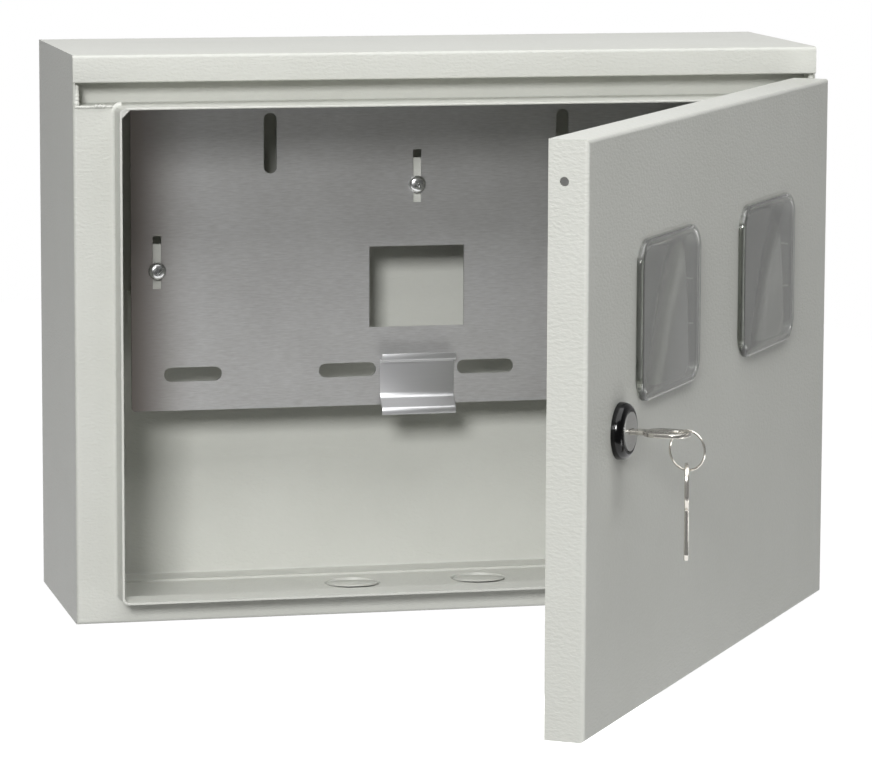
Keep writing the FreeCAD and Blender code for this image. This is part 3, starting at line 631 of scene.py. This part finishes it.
def turn_up(name: str, rings_mm: Rings, sides: int, hollow: bool) -> Piece:
    """Turns up a round piece about Z, ring by ring.

    Args:
        name: the piece's name.
        rings_mm: radius and height of each ring along the profile.
        sides: points round each ring.
        hollow: whether the last ring joins the first, or both ends are closed.

    Returns:
        The piece, active and in object mode.
    """
    deselect()
    radius, height = rings_mm[0]
    bpy.ops.mesh.primitive_circle_add(
        vertices=sides, radius=radius * MM, location=metres(0.0, 0.0, height),
        fill_type="NOTHING" if hollow else "NGON")
    piece = bpy.context.object
    piece.name = name
    keep_place()
    start_edit()
    pick(Domain.EDGE, lambda edge: True)
    for next_radius, next_height in list(rings_mm[1:]) + ([rings_mm[0]] if hollow else []):
        rise = metres(0.0, 0.0, next_height - height)
        bpy.ops.mesh.extrude_edges_move(TRANSFORM_OT_translate={"value": rise})
        growth = next_radius / radius
        bpy.ops.transform.resize(value=(growth, growth, 1.0), center_override=metres(0.0, 0.0, next_height))
        radius, height = next_radius, next_height
    if not hollow:
        bpy.ops.mesh.edge_face_add()
    bpy.ops.mesh.select_all(action="SELECT")
    bpy.ops.mesh.remove_doubles(threshold=MERGE_MM * MM)
    face_out()
    return piece


def bend(y_mm: float, z_mm: float, radius_mm: float) -> None:
    """Rounds the fold that runs along X at one place.

    Args:
        y_mm: the fold's depth.
        z_mm: the fold's height.
        radius_mm: the bend's radius.
    """
    pick(Domain.EDGE, lambda edge: all(
        abs(vert.co.y / MM - y_mm) < FOLD_REACH_MM and abs(vert.co.z / MM - z_mm) < FOLD_REACH_MM
        for vert in edge.verts))
    bpy.ops.mesh.bevel(offset=radius_mm * MM, segments=BEND_STEPS, affect="EDGES")


def face_towards(piece: Piece, way: Vector) -> None:
    """Turns a folded sheet's faces so that its largest face looks one way.

    Args:
        piece: the sheet, active and in object mode.
        way: the direction.
    """
    largest = max(piece.data.polygons, key=lambda face: face.area)
    if largest.normal.dot(way) < 0:
        start_edit()
        bpy.ops.mesh.select_all(action="SELECT")
        bpy.ops.mesh.flip_normals()
        end_edit()


def thicken(piece: Piece, sheet_mm: float) -> None:
    """Gives a folded sheet its thickness, behind the faces that it shows.

    Args:
        piece: the sheet, active and in object mode.
        sheet_mm: its thickness.
    """
    sheet = piece.modifiers.new("sheet", "SOLIDIFY")
    sheet.thickness = sheet_mm * MM
    sheet.offset = -1.0
    sheet.use_even_offset = True
    bpy.ops.object.modifier_apply(modifier=sheet.name)


def ease_edges(piece: Piece, radius_mm: float, sharper_deg: float) -> None:
    """Rounds the sharp edges of a piece.

    Args:
        piece: the piece, active and in object mode.
        radius_mm: radius of the rounding.
        sharper_deg: edges that turn less than this stay as they are.
    """
    edge = piece.modifiers.new("edge", "BEVEL")
    edge.width = radius_mm * MM
    edge.segments = EDGE_STEPS
    edge.limit_method = "ANGLE"
    edge.angle_limit = math.radians(sharper_deg)
    bpy.ops.object.modifier_apply(modifier=edge.name)


def combine(piece: Piece, tool: Piece, way: Merge) -> None:
    """Joins or cuts a piece with another, which is used up.

    Args:
        piece: the piece that stays.
        tool: the piece that works on it.
        way: whether it is added or cut away.
    """
    activate(piece)
    step = piece.modifiers.new(tool.name, "BOOLEAN")
    step.object = tool
    step.operation = way.value
    step.solver = "EXACT"
    bpy.ops.object.modifier_apply(modifier=step.name)
    bpy.data.objects.remove(tool, do_unlink=True)


def copy_piece(piece: Piece, name: str) -> Piece:
    """Copies a piece with a mesh of its own.

    Args:
        piece: the piece to copy.
        name: the copy's name.

    Returns:
        The copy.
    """
    twin = piece.copy()
    twin.data = piece.data.copy()
    twin.name = name
    bpy.context.scene.collection.objects.link(twin)
    return twin


def soften(node: str, name: str, radius_mm: float) -> Piece:
    """Copies a solid of the frame and rounds its edges.

    Args:
        node: the solid's name.
        name: the copy's name.
        radius_mm: radius of the rounded edges.

    Returns:
        The rounded copy.
    """
    piece = copy_piece(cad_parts[node], name)
    piece.hide_render = False
    piece.parent = None
    activate(piece)
    start_edit()
    bpy.ops.mesh.select_all(action="SELECT")
    bpy.ops.mesh.remove_doubles(threshold=MERGE_MM * MM)
    bpy.ops.mesh.dissolve_limited(angle_limit=math.radians(FLAT_DEG))
    end_edit()
    ease_edges(piece, radius_mm, SOLID_EDGE_DEG)
    return piece


def hand_over(
        piece: Piece, finish: Finish, body: Body, replaced: str = "",
        crease_deg: float = CREASE_DEG) -> None:
    """Smooths and dresses a finished piece and gives it to its body.

    Args:
        piece: the finished piece.
        finish: one of the finish dataclasses.
        body: the body it rides on.
        replaced: the solid that it stands for, if any.
        crease_deg: edges sharper than this stay crisp.
    """
    activate(piece)
    bpy.ops.object.shade_smooth_by_angle(angle=math.radians(crease_deg))
    piece.data.materials.clear()
    piece.data.materials.append(finish_of(finish))
    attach(piece, body.value)
    if replaced:
        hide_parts(replaced)
    LOG.info("%s: %s, %d faces", piece.name, finish.name, len(piece.data.polygons))


def towards_front() -> Matrix:
    """Turn that lays a piece made about Z on its back, so that its top looks along -Y."""
    return Matrix.Rotation(math.radians(90.0), 4, "X")


@dataclass
class WeldBead:
    """Painted-over run of weld: overlapping drops laid along a line."""

    name: str
    start_mm: Point
    end_mm: Point
    radius_mm: float
    pitch_mm: float
    voxel_mm: float = 0.28
    drop_sides: int = 16
    drop_rings: int = 10
    calm_passes: int = 3

    def build(self) -> Piece:
        """Lays the drops and runs them together.

        Returns:
            The bead of the left side.
        """
        start, end = Vector(self.start_mm), Vector(self.end_mm)
        drops = max(2, round((end - start).length / self.pitch_mm) + 1)
        deselect()
        bpy.ops.mesh.primitive_uv_sphere_add(
            segments=self.drop_sides, ring_count=self.drop_rings, radius=self.radius_mm * MM,
            location=metres(*start))
        bead = bpy.context.object
        bead.name = f"{self.name}_left"
        keep_place()
        row = bead.modifiers.new("drops", "ARRAY")
        row.count = drops
        row.use_relative_offset = False
        row.use_constant_offset = True
        row.constant_offset_displace = (end - start) / (drops - 1) * MM
        bpy.ops.object.modifier_apply(modifier=row.name)
        melt = bead.modifiers.new("melt", "REMESH")
        melt.mode = "VOXEL"
        melt.voxel_size = self.voxel_mm * MM
        bpy.ops.object.modifier_apply(modifier=melt.name)
        calm = bead.modifiers.new("calm", "SMOOTH")
        calm.iterations = self.calm_passes
        bpy.ops.object.modifier_apply(modifier=calm.name)
        return bead


@dataclass
class Case:
    """Folded steel case: front frame, hood, rear tray, brackets and the fixed hinge halves."""

    painted: tuple[str, ...] = (
        "front_shell", "back_tray", "bracket_left", "bracket_right", "bracket_top",
        "box_hinge_leaf_upper", "box_hinge_leaf_lower")
    plated: tuple[str, ...] = ("hinge_pin_upper", "hinge_pin_lower")
    half_width_mm: float = 208.0
    roof_z_mm: float = 155.0
    front_y_mm: float = -130.0
    fascia_z_mm: float = 140.0
    gutter_y_mm: float = -111.0
    ledge_z_mm: float = 127.8
    rim_y_mm: float = -148.0
    rim_half_mm: float = 181.9
    opening_half_mm: float = 184.4
    bite_mm: float = 0.3
    rim_lap_mm: float = 1.0
    rim_edge_mm: float = 0.35
    roof_bend_mm: float = 2.0
    fold_mm: float = 0.9
    welds: tuple[WeldBead, ...] = (
        WeldBead("corner_weld", (-206.0, -126.8, 137.5), (-206.0, -128.6, 129.0), 1.8, 2.0),
        WeldBead("seam_weld", (-206.4, -129.8, 127.2), (-187.6, -129.8, 127.2), 0.95, 1.3),
        WeldBead("seam_end_weld", (-195.6, -130.1, 127.5), (-191.6, -130.2, 127.4), 1.2, 2.0),
    )
    gusset_mm: float = 4.8
    gusset_run_mm: float = 16.4
    slug_rings_mm: Rings = (
        (14.4, 0.0), (14.6, 0.15), (14.6, 0.65), (14.4, 0.8))
    slug_place_mm: Point = (-37.0, -45.0, -154.6)
    slug_tilt_deg: float = -4.5
    slug_sides: int = 64

    def build(self) -> None:
        """Folds the hood, lays its welds, fills the top corners of the rim and sets the knockouts' discs."""
        hand_over(self.fold_hood(), PAINT, Body.CASE, "hood_roof")
        self.mirror([weld.build() for weld in self.welds] + [self.fill_corner(), self.punch_slug()])

    def fold_hood(self) -> Piece:
        """Folds one sheet into the roof, the fascia, the rain gutter behind it and the top of the rim.

        Returns:
            The hood.
        """
        mid_y = self.front_y_mm / 2
        hood = add_sheet(
            "folded_hood", (0.0, mid_y, self.roof_z_mm), (2 * self.half_width_mm, -self.front_y_mm))
        pick(Domain.EDGE, lambda edge: all(vert.co.y < mid_y * MM for vert in edge.verts))
        inner = (self.half_width_mm - SHEET_MM) / self.half_width_mm
        folds = (
            (0.0, self.fascia_z_mm - self.roof_z_mm, 1.0), (self.gutter_y_mm - self.front_y_mm, 0.0, inner),
            (0.0, self.ledge_z_mm - self.fascia_z_mm, 1.0), (self.front_y_mm - self.gutter_y_mm, 0.0, 1.0))
        for run, drop, narrowing in folds:
            bpy.ops.mesh.extrude_edges_move(TRANSFORM_OT_translate={"value": metres(0.0, run, drop)})
            bpy.ops.transform.resize(value=(narrowing, 1.0, 1.0), center_override=(0.0, 0.0, 0.0))
        bend(self.front_y_mm, self.roof_z_mm, self.roof_bend_mm)
        bend(self.front_y_mm, self.fascia_z_mm, self.fold_mm)
        bend(self.gutter_y_mm, self.fascia_z_mm, self.fold_mm)
        bend(self.gutter_y_mm, self.ledge_z_mm, self.fold_mm)
        face_out()
        face_towards(hood, Vector((0.0, 0.0, 1.0)))
        thicken(hood, SHEET_MM)
        rim_back_y = self.front_y_mm + self.rim_lap_mm
        rim = add_block(
            "rim_top", (0.0, (self.rim_y_mm + rim_back_y) / 2, self.ledge_z_mm - SHEET_MM / 2),
            (2 * self.rim_half_mm, rim_back_y - self.rim_y_mm, SHEET_MM))
        ease_edges(rim, self.rim_edge_mm, BLOCK_EDGE_DEG)
        combine(hood, rim, Merge.ADD)
        return hood

    def fill_corner(self) -> Piece:
        """Fills the left top corner of the rim with a chamfered gusset.

        Returns:
            The gusset.
        """
        half = self.gusset_mm / 2
        inner_x, inner_z = -self.opening_half_mm, self.ledge_z_mm - SHEET_MM
        gusset = add_block(
            "corner_gusset_left",
            (inner_x - self.bite_mm + half, self.rim_y_mm + self.bite_mm + self.gusset_run_mm / 2,
             inner_z + self.bite_mm - half),
            (self.gusset_mm, self.gusset_run_mm, self.gusset_mm))
        start_edit()
        pick(Domain.EDGE, lambda edge: all(
            vert.co.x > (inner_x + half) * MM and vert.co.z < (inner_z - half) * MM for vert in edge.verts))
        bpy.ops.mesh.bevel(offset=(self.gusset_mm - self.bite_mm) * MM, segments=1, affect="EDGES")
        end_edit()
        ease_edges(gusset, self.bite_mm, BLOCK_EDGE_DEG)
        return gusset

    def punch_slug(self) -> Piece:
        """Makes the left knockout's half-punched disc, which stands a little askew in its dish.

        Returns:
            The disc.
        """
        slug = turn_up("knockout_slug_left", self.slug_rings_mm, self.slug_sides, hollow=False)
        tilt = Matrix.Rotation(math.radians(self.slug_tilt_deg), 4, "X")
        set_place(slug, Matrix.Translation(metres(*self.slug_place_mm)) @ tilt)
        return slug

    def mirror(self, lefts: Sequence[Piece]) -> None:
        """Copies the pieces of the left side to the right and hands both over.

        Args:
            lefts: pieces whose names end in "_left".
        """
        for left in lefts:
            right = copy_piece(left, left.name.replace("_left", "_right"))
            set_place(right, Matrix.Scale(-1.0, 4, Vector((1.0, 0.0, 0.0))))
            start_edit()
            face_out()
            for piece in (left, right):
                hand_over(piece, PAINT, Body.CASE)

    def dress(self) -> None:
        """Paints the sheets and plates the pins."""
        for node in self.painted:
            dress(node, PAINT)
        for node in self.plated:
            dress(node, BRIGHT_ZINC)


@dataclass
class MeterPanel:
    """Plated mounting panel with its screws and the short device rail."""

    screw_places_mm: tuple[tuple[float, float], ...] = ((-149.0, 27.8), (149.0, 27.8), (0.0, 74.0))
    screw_turns_deg: tuple[float, ...] = (18.0, 62.0, 35.0)
    seat_y_mm: float = -45.5
    screw_rings_mm: Rings = (
        (1.5, -6.0), (2.0, -5.4), (2.0, 0.0), (4.8, 0.0), (5.0, 0.2), (5.0, 0.8), (4.85, 1.35), (4.4, 1.9),
        (3.6, 2.4), (2.5, 2.7), (1.2, 2.84))
    recess_mm: Point = (5.4, 1.1, 2.2)
    recess_taper: float = 0.55
    screw_sides: int = 40
    screw_crease_deg: float = 50.0
    rail_z_mm: float = -39.0
    rail_length_mm: float = 43.0
    rail_half_mm: float = 17.5
    upper_lip_mm: float = 4.6
    lower_lip_mm: float = 3.5
    rail_root_mm: float = 7.3
    rail_depth_mm: float = 7.5
    rail_sheet_mm: float = 1.0
    root_bend_mm: float = 2.0
    lip_bend_mm: float = 1.3
    rail_edge_mm: float = 0.3
    rail_sharp_deg: float = 60.0
    rail_crease_deg: float = 35.0

    def build(self) -> None:
        """Makes the screws and the rail."""
        self.set_screws()
        hand_over(
            self.roll_rail(), ROLLED_STRIP, Body.CASE, "din_rail", self.rail_crease_deg)

    def roll_rail(self) -> Piece:
        """Rolls one strip into the rail: two lips, a level upper flank, the web and a sloping lower flank.

        Returns:
            The rail.
        """
        lip_y, web_y = self.seat_y_mm - self.rail_depth_mm, self.seat_y_mm - self.rail_sheet_mm
        upper, lower = self.rail_half_mm - self.upper_lip_mm, self.lower_lip_mm - self.rail_half_mm
        rail = add_sheet(
            "rolled_rail", (0.0, lip_y, self.rail_z_mm + (self.rail_half_mm + upper) / 2),
            (self.rail_length_mm, self.upper_lip_mm), upright_deg=90.0)
        top_of_flank = (self.rail_z_mm + upper + MERGE_MM) * MM
        pick(Domain.EDGE, lambda edge: all(vert.co.z < top_of_flank for vert in edge.verts))
        for run, drop in (
                (web_y - lip_y, 0.0), (0.0, -self.rail_root_mm - upper),
                (lip_y - web_y, self.rail_root_mm + lower), (0.0, -self.lower_lip_mm)):
            bpy.ops.mesh.extrude_edges_move(TRANSFORM_OT_translate={"value": metres(0.0, run, drop)})
        for y, z, radius in (
                (lip_y, upper, self.lip_bend_mm), (web_y, upper, self.lip_bend_mm),
                (web_y, -self.rail_root_mm, self.root_bend_mm), (lip_y, lower, self.lip_bend_mm)):
            bend(y, self.rail_z_mm + z, radius)
        face_out()
        face_towards(rail, Vector((0.0, -1.0, 0.0)))
        thicken(rail, self.rail_sheet_mm)
        ease_edges(rail, self.rail_edge_mm, self.rail_sharp_deg)
        return rail

    def set_screws(self) -> None:
        """Makes one pan-head screw with a cross recess and sets a copy on each place."""
        screw = turn_up("panel_screw_1", self.screw_rings_mm, self.screw_sides, hollow=False)
        length, width, depth = self.recess_mm
        crown = self.screw_rings_mm[-1][1]
        for size in ((length, width, 2 * depth), (width, length, 2 * depth)):
            arm = add_block("recess_arm", (0.0, 0.0, crown), size)
            start_edit()
            pick(Domain.FACE, lambda face: face.normal.z < -FACING)
            bpy.ops.transform.resize(
                value=(self.recess_taper, self.recess_taper, 1.0),
                center_override=metres(0.0, 0.0, crown - depth))
            end_edit()
            combine(screw, arm, Merge.CUT)
        screws = [screw] + [
            copy_piece(screw, f"panel_screw_{number}") for number in range(2, len(self.screw_places_mm) + 1)]
        for piece, (x, z), turn in zip(screws, self.screw_places_mm, self.screw_turns_deg):
            spin = Matrix.Rotation(math.radians(turn), 4, "Z")
            set_place(piece, Matrix.Translation(metres(x, self.seat_y_mm, z)) @ towards_front() @ spin)
            hand_over(
                piece, BRIGHT_ZINC, Body.CASE, "panel_screws", self.screw_crease_deg)

    def dress(self) -> None:
        """Plates the panel."""
        dress("mounting_panel", ZINC_SHEET)


def ajar() -> Matrix:
    """Turn from the closed door to the door at rest, which stands open."""
    hinge = Matrix.Translation(metres(HINGE_MM[0], HINGE_MM[1], 0.0))
    return hinge @ Matrix.Rotation(math.radians(OPEN_DEG), 4, "Z") @ hinge.inverted()


@dataclass
class Door:
    """Door tray with its seal, hinge halves and two moulded windows."""

    window_x_mm: float = 85.5
    window_z_mm: float = 43.0
    width_mm: float = 96.0
    height_mm: float = 80.0
    corner_mm: float = 13.0
    proud_mm: float = 3.5
    edge_round_mm: float = 1.8
    ledge_mm: float = 2.3
    wall_mm: float = 2.0
    skirt_mm: float = 4.6
    tab_height_mm: float = 21.0
    tab_reach_mm: float = 1.6
    tab_depth_mm: float = 2.2
    tab_gap_mm: float = 0.3
    slit_mm: float = 1.0
    slit_past_mm: float = 1.0
    corner_steps: int = 9
    crease_deg: float = 32.0
    pane_facing: float = 0.97
    rim_lit_from: float = 0.3

    def build(self) -> None:
        """Moulds one window and sets one on each side of the door."""
        left = self.build_window("moulded_window_left")
        right = copy_piece(left, "moulded_window_right")
        for piece, side, node in ((left, -1.0, "window_left"), (right, 1.0, "window_right")):
            shift = Matrix.Translation(metres(side * self.window_x_mm, 0.0, self.window_z_mm))
            set_place(piece, ajar() @ shift)
            hand_over(piece, CLEAR_PC, Body.DOOR, node, self.crease_deg)
            self.paint_rim_shade(piece)

    def paint_rim_shade(self, piece: Piece) -> None:
        """Paints shade onto the rim: its sides and bottom get a darker copy of the clear material, while its
        top, which the light comes through, stays clear.

        Args:
            piece: the window on the open door.
        """
        facing = ajar().to_3x3() @ Vector((0.0, -1.0, 0.0))
        # Painted shade: the rim's sides and bottom get the darker clear material, the lit top keeps the
        # clear one.
        piece.data.materials.append(finish_of(CLEAR_RIM_SHADE))
        for face in piece.data.polygons:
            edgewise = abs(face.normal.dot(facing)) < self.pane_facing
            face.material_index = int(edgewise and face.normal.z < self.rim_lit_from)

    def build_window(self, name: str) -> Piece:
        """Moulds a window about the origin: a raised pane with rounded edges, a skirt and two snap tabs.

        Args:
            name: the piece's name.

        Returns:
            The window of a closed door.
        """
        pane = add_block(
            name, (0.0, DOOR_FACE_Y_MM - self.proud_mm / 2, 0.0),
            (self.width_mm, self.proud_mm, self.height_mm))
        start_edit()
        pick(Domain.EDGE, lambda edge: abs(edge.verts[0].co.y - edge.verts[1].co.y) > MERGE_MM * MM)
        bpy.ops.mesh.bevel(offset=self.corner_mm * MM, segments=self.corner_steps, affect="EDGES")
        pick(Domain.FACE, lambda face: face.normal.y < -FACING)
        bpy.ops.mesh.bevel(offset=self.edge_round_mm * MM, segments=BEND_STEPS, affect="EDGES")
        pick(Domain.FACE, lambda face: face.normal.y > FACING)
        bpy.ops.mesh.inset(thickness=self.ledge_mm * MM)
        push_out(self.skirt_mm)
        bpy.ops.mesh.inset(thickness=self.wall_mm * MM)
        push_out(self.wall_mm - self.skirt_mm - self.proud_mm)
        end_edit()
        self.cut_tabs(pane)
        return pane

    def cut_tabs(self, pane: Piece) -> None:
        """Adds a snap tab in the middle of each side of the skirt, freed by two slits.

        Args:
            pane: the window.
        """
        skirt_x = self.width_mm / 2 - self.ledge_mm
        tab_front = DOOR_FACE_Y_MM + SHEET_MM + self.tab_gap_mm
        tab_y = tab_front + self.tab_depth_mm / 2
        slit_back = DOOR_FACE_Y_MM + self.skirt_mm + self.slit_past_mm
        slit_y, slit_depth = (tab_front + slit_back) / 2, slit_back - tab_front
        reach = self.wall_mm / 2 + self.tab_reach_mm
        for side in (-1.0, 1.0):
            tab = add_block(
                "snap_tab", (side * (skirt_x + self.tab_reach_mm / 2 - self.wall_mm / 4), tab_y, 0.0),
                (reach, self.tab_depth_mm, self.tab_height_mm))
            combine(pane, tab, Merge.ADD)
            for end in (-1.0, 1.0):
                slit = add_block(
                    "snap_slit", (side * skirt_x, slit_y, end * (self.tab_height_mm + self.slit_mm) / 2),
                    (3 * self.wall_mm, slit_depth, self.slit_mm))
                combine(pane, slit, Merge.CUT)

    def dress(self) -> None:
        """Paints the door and finishes what it carries."""
        for node in ("door_panel", "door_hinge_leaf_upper", "door_hinge_leaf_lower"):
            dress(node, PAINT)
        dress("door_gasket", FOAM)


@dataclass
class Lock:
    """Cam lock with its domed black bezel, the key, the ring and the spare key."""

    axis_mm: tuple[float, float] = (-157.5, -6.5)
    bezel_mm: float = 14.0
    bezel_top_mm: float = 10.6
    bezel_height_mm: float = 5.6
    bezel_skirt_mm: float = 1.2
    bore_mm: float = 9.8
    recess_mm: float = 11.8
    bore_ease_mm: float = 0.3
    bore_ease_top_mm: float = 0.1
    bore_ease_end_mm: float = 0.5
    dome_steps: int = 10
    bezel_sides: int = 96
    key_edge_mm: float = 0.55
    key_crease_deg: float = 60.0

    def build(self) -> None:
        """Turns up the bezel and rounds the keys as they come from the polishing drum."""
        self.turn_bezel()
        for node, body in (("key", Body.KEY), ("spare_key", Body.SPARE)):
            polished = soften(node, f"polished_{node}", self.key_edge_mm)
            hand_over(polished, NICKEL, body, node, self.key_crease_deg)

    def turn_bezel(self) -> None:
        """Turns up the bezel and sets it on the door."""
        rings = [(self.bezel_mm, 0.0)]
        for step in range(self.dome_steps + 1):
            turn = math.radians(90.0 * step / self.dome_steps)
            rings.append((
                self.bezel_top_mm + (self.bezel_mm - self.bezel_top_mm) * math.cos(turn),
                self.bezel_skirt_mm + (self.bezel_height_mm - self.bezel_skirt_mm) * math.sin(turn)))
        rings += [
            (self.bore_mm + self.bore_ease_mm, self.bezel_height_mm - self.bore_ease_top_mm),
            (self.bore_mm, self.bezel_height_mm - self.bore_ease_end_mm),
            (self.bore_mm, self.bezel_skirt_mm), (self.recess_mm, self.bezel_skirt_mm),
            (self.recess_mm, 0.0)]
        bezel = turn_up("domed_bezel", rings, self.bezel_sides, hollow=True)
        x, z = self.axis_mm
        closed = Matrix.Translation(metres(x, DOOR_FACE_Y_MM, z)) @ towards_front()
        set_place(bezel, ajar() @ closed)
        hand_over(bezel, BLACK_ABS, Body.DOOR, "lock_bezel")

    def dress(self) -> None:
        """Finishes the lock's metal and the key ring."""
        for node in ("lock_body", "lock_cylinder"):
            dress(node, SATIN_CASTING)
        for node in ("lock_nut", "lock_cam", "cam_screw"):
            dress(node, BRIGHT_ZINC)
        dress("key_ring", NICKEL)


@dataclass
class SoftBox:
    """Square area lamp that points at the box."""

    name: str
    place: Point
    aim: Point
    size: float
    watts: float

    def build(self) -> None:
        """Adds the lamp."""
        lamp = bpy.data.lights.new(self.name, "AREA")
        lamp.shape = "SQUARE"
        lamp.size = self.size
        lamp.energy = self.watts
        lamp_object = bpy.data.objects.new(self.name, lamp)
        bpy.context.scene.collection.objects.link(lamp_object)
        lamp_object.location = self.place
        beam = Vector(self.aim) - Vector(self.place)
        lamp_object.rotation_euler = beam.to_track_quat("-Z", "Y").to_euler()


@dataclass
class Studio:
    """Pale floor, a white backdrop behind the box, a dimmer room in front of it and soft boxes."""

    floor_z: float = -0.75
    floor_near: float = -1.3
    floor_far: float = 6.0
    floor_half_width: float = 2.0
    white: float = 1.0
    room_light: float = 0.1
    front_gloss: float = 0.12
    side_gloss: float = 0.34
    gloss_turn: tuple[float, float] = (-0.6, 0.3)
    backdrop_axis: Point = (0.222, 0.975, 0.0)
    backdrop_edge: tuple[float, float] = (0.87, 0.955)
    lamps: list[SoftBox] = field(default_factory=lambda: [
        SoftBox("front_box", (-1.15, -3.07, 1.1), (-0.05, -0.2, 0.05), 0.62, 75.0),
        SoftBox("overhead_box", (0.05, -1.15, 1.8), (0.05, -1.149, 0.0), 2.4, 47.0),
        SoftBox("right_fill", (0.95, -0.95, -0.68), (0.12, -0.35, -0.08), 0.5, 4.2),
        SoftBox("back_fill", (0.6, 2.4, -0.33), (0.05, 0.0, -0.05), 0.75, 16.0),
    ])

    def build(self) -> None:
        """Builds the floor, the world and the lamps."""
        self.build_floor()
        self.build_world()
        for lamp in self.lamps:
            lamp.build()

    def build_floor(self) -> None:
        """Lays the paper floor."""
        deselect()
        middle = (self.floor_near + self.floor_far) / 2
        bpy.ops.mesh.primitive_plane_add(size=1.0, location=(0.0, middle, self.floor_z))
        floor = bpy.context.object
        floor.name = "studio_floor"
        floor.scale = (2 * self.floor_half_width, self.floor_far - self.floor_near, 1.0)
        keep_place()
        floor.data.materials.append(finish_of(PAPER))

    def build_world(self) -> None:
        """Sets white for the camera, a backdrop and a dim room for gloss, and even light elsewhere."""
        world = bpy.data.worlds.new("studio_room")
        bpy.context.scene.world = world
        world.use_nodes = True
        tree = world.node_tree
        tree.nodes.clear()
        path = add_node(tree, "LightPath")
        gaze = add_node(tree, "TexCoord").outputs["Generated"]
        towards = add_node(tree, "SeparateXYZ", {"Vector": gaze})
        around = add_node(tree, "MapRange", {
            "Value": towards.outputs["Y"], "From Min": self.gloss_turn[0], "From Max": self.gloss_turn[1],
            "To Min": self.front_gloss, "To Max": self.side_gloss})
        behind = add_node(tree, "VectorMath", {
            0: gaze, 1: self.backdrop_axis}, operation="DOT_PRODUCT")
        backdrop = add_node(tree, "MapRange", {
            "Value": behind.outputs["Value"], "From Min": self.backdrop_edge[0],
            "From Max": self.backdrop_edge[1]})
        mirrored = add_node(tree, "Mix", {
            "Factor": backdrop.outputs["Result"], "A": around.outputs["Result"], "B": self.white})
        seen = add_node(tree, "Math", {
            0: path.outputs["Is Glossy Ray"], 1: path.outputs["Is Transmission Ray"]},
            operation="ADD", use_clamp=True)
        indirect = add_node(tree, "Mix", {
            "Factor": seen.outputs["Value"], "A": self.room_light, "B": mirrored.outputs["Result"]})
        strength = add_node(tree, "Mix", {
            "Factor": path.outputs["Is Camera Ray"], "A": indirect.outputs["Result"], "B": self.white})
        room = add_node(tree, "Background", {
            "Color": WHITE, "Strength": strength.outputs["Result"]})
        output = add_node(tree, "OutputWorld")
        tree.links.new(room.outputs["Background"], output.inputs["Surface"])


@dataclass
class ViewCamera:
    """Long-lens camera at the left front, a little above the box."""

    azimuth_deg: float = -12.973
    elevation_deg: float = 8.231
    roll_deg: float = 0.226
    focal_px: float = 4464.3
    place_mm: Point = (-553.8, -2499.2, 321.9)
    near_m: float = 0.05
    far_m: float = 100.0

    def build(self) -> None:
        """Adds the camera and makes it the scene's own."""
        azimuth, elevation, roll = (
            math.radians(v) for v in (self.azimuth_deg, self.elevation_deg, self.roll_deg))
        level = math.cos(elevation)
        back = Vector((math.sin(azimuth) * level, -math.cos(azimuth) * level, math.sin(elevation)))
        right = (-back).cross(Vector((0.0, 0.0, 1.0))).normalized()
        up = right.cross(-back)
        image_right = math.cos(roll) * right + math.sin(roll) * up
        image_up = -math.sin(roll) * right + math.cos(roll) * up
        data = bpy.data.cameras.new("view_camera")
        data.sensor_fit = "HORIZONTAL"
        data.sensor_width = SENSOR_MM
        data.lens = self.focal_px * SENSOR_MM / PHOTO_WIDTH
        data.clip_start = self.near_m
        data.clip_end = self.far_m
        camera = bpy.data.objects.new("view_camera", data)
        bpy.context.scene.collection.objects.link(camera)
        turn = Matrix((image_right, image_up, back)).transposed().to_4x4()
        camera.matrix_world = Matrix.Translation(Vector(self.place_mm) * MM) @ turn
        bpy.context.scene.camera = camera


def main() -> None:
    """Builds and dresses the box and sets the studio."""
    logging.basicConfig(level=logging.INFO, format="%(name)s: %(message)s")
    bpy.context.scene.view_settings.view_transform = "Standard"
    for assembly in (Case(), MeterPanel(), Door(), Lock()):
        assembly.build()
        assembly.dress()
    Studio().build()
    ViewCamera().build()


if __name__ == "__main__":
    main()
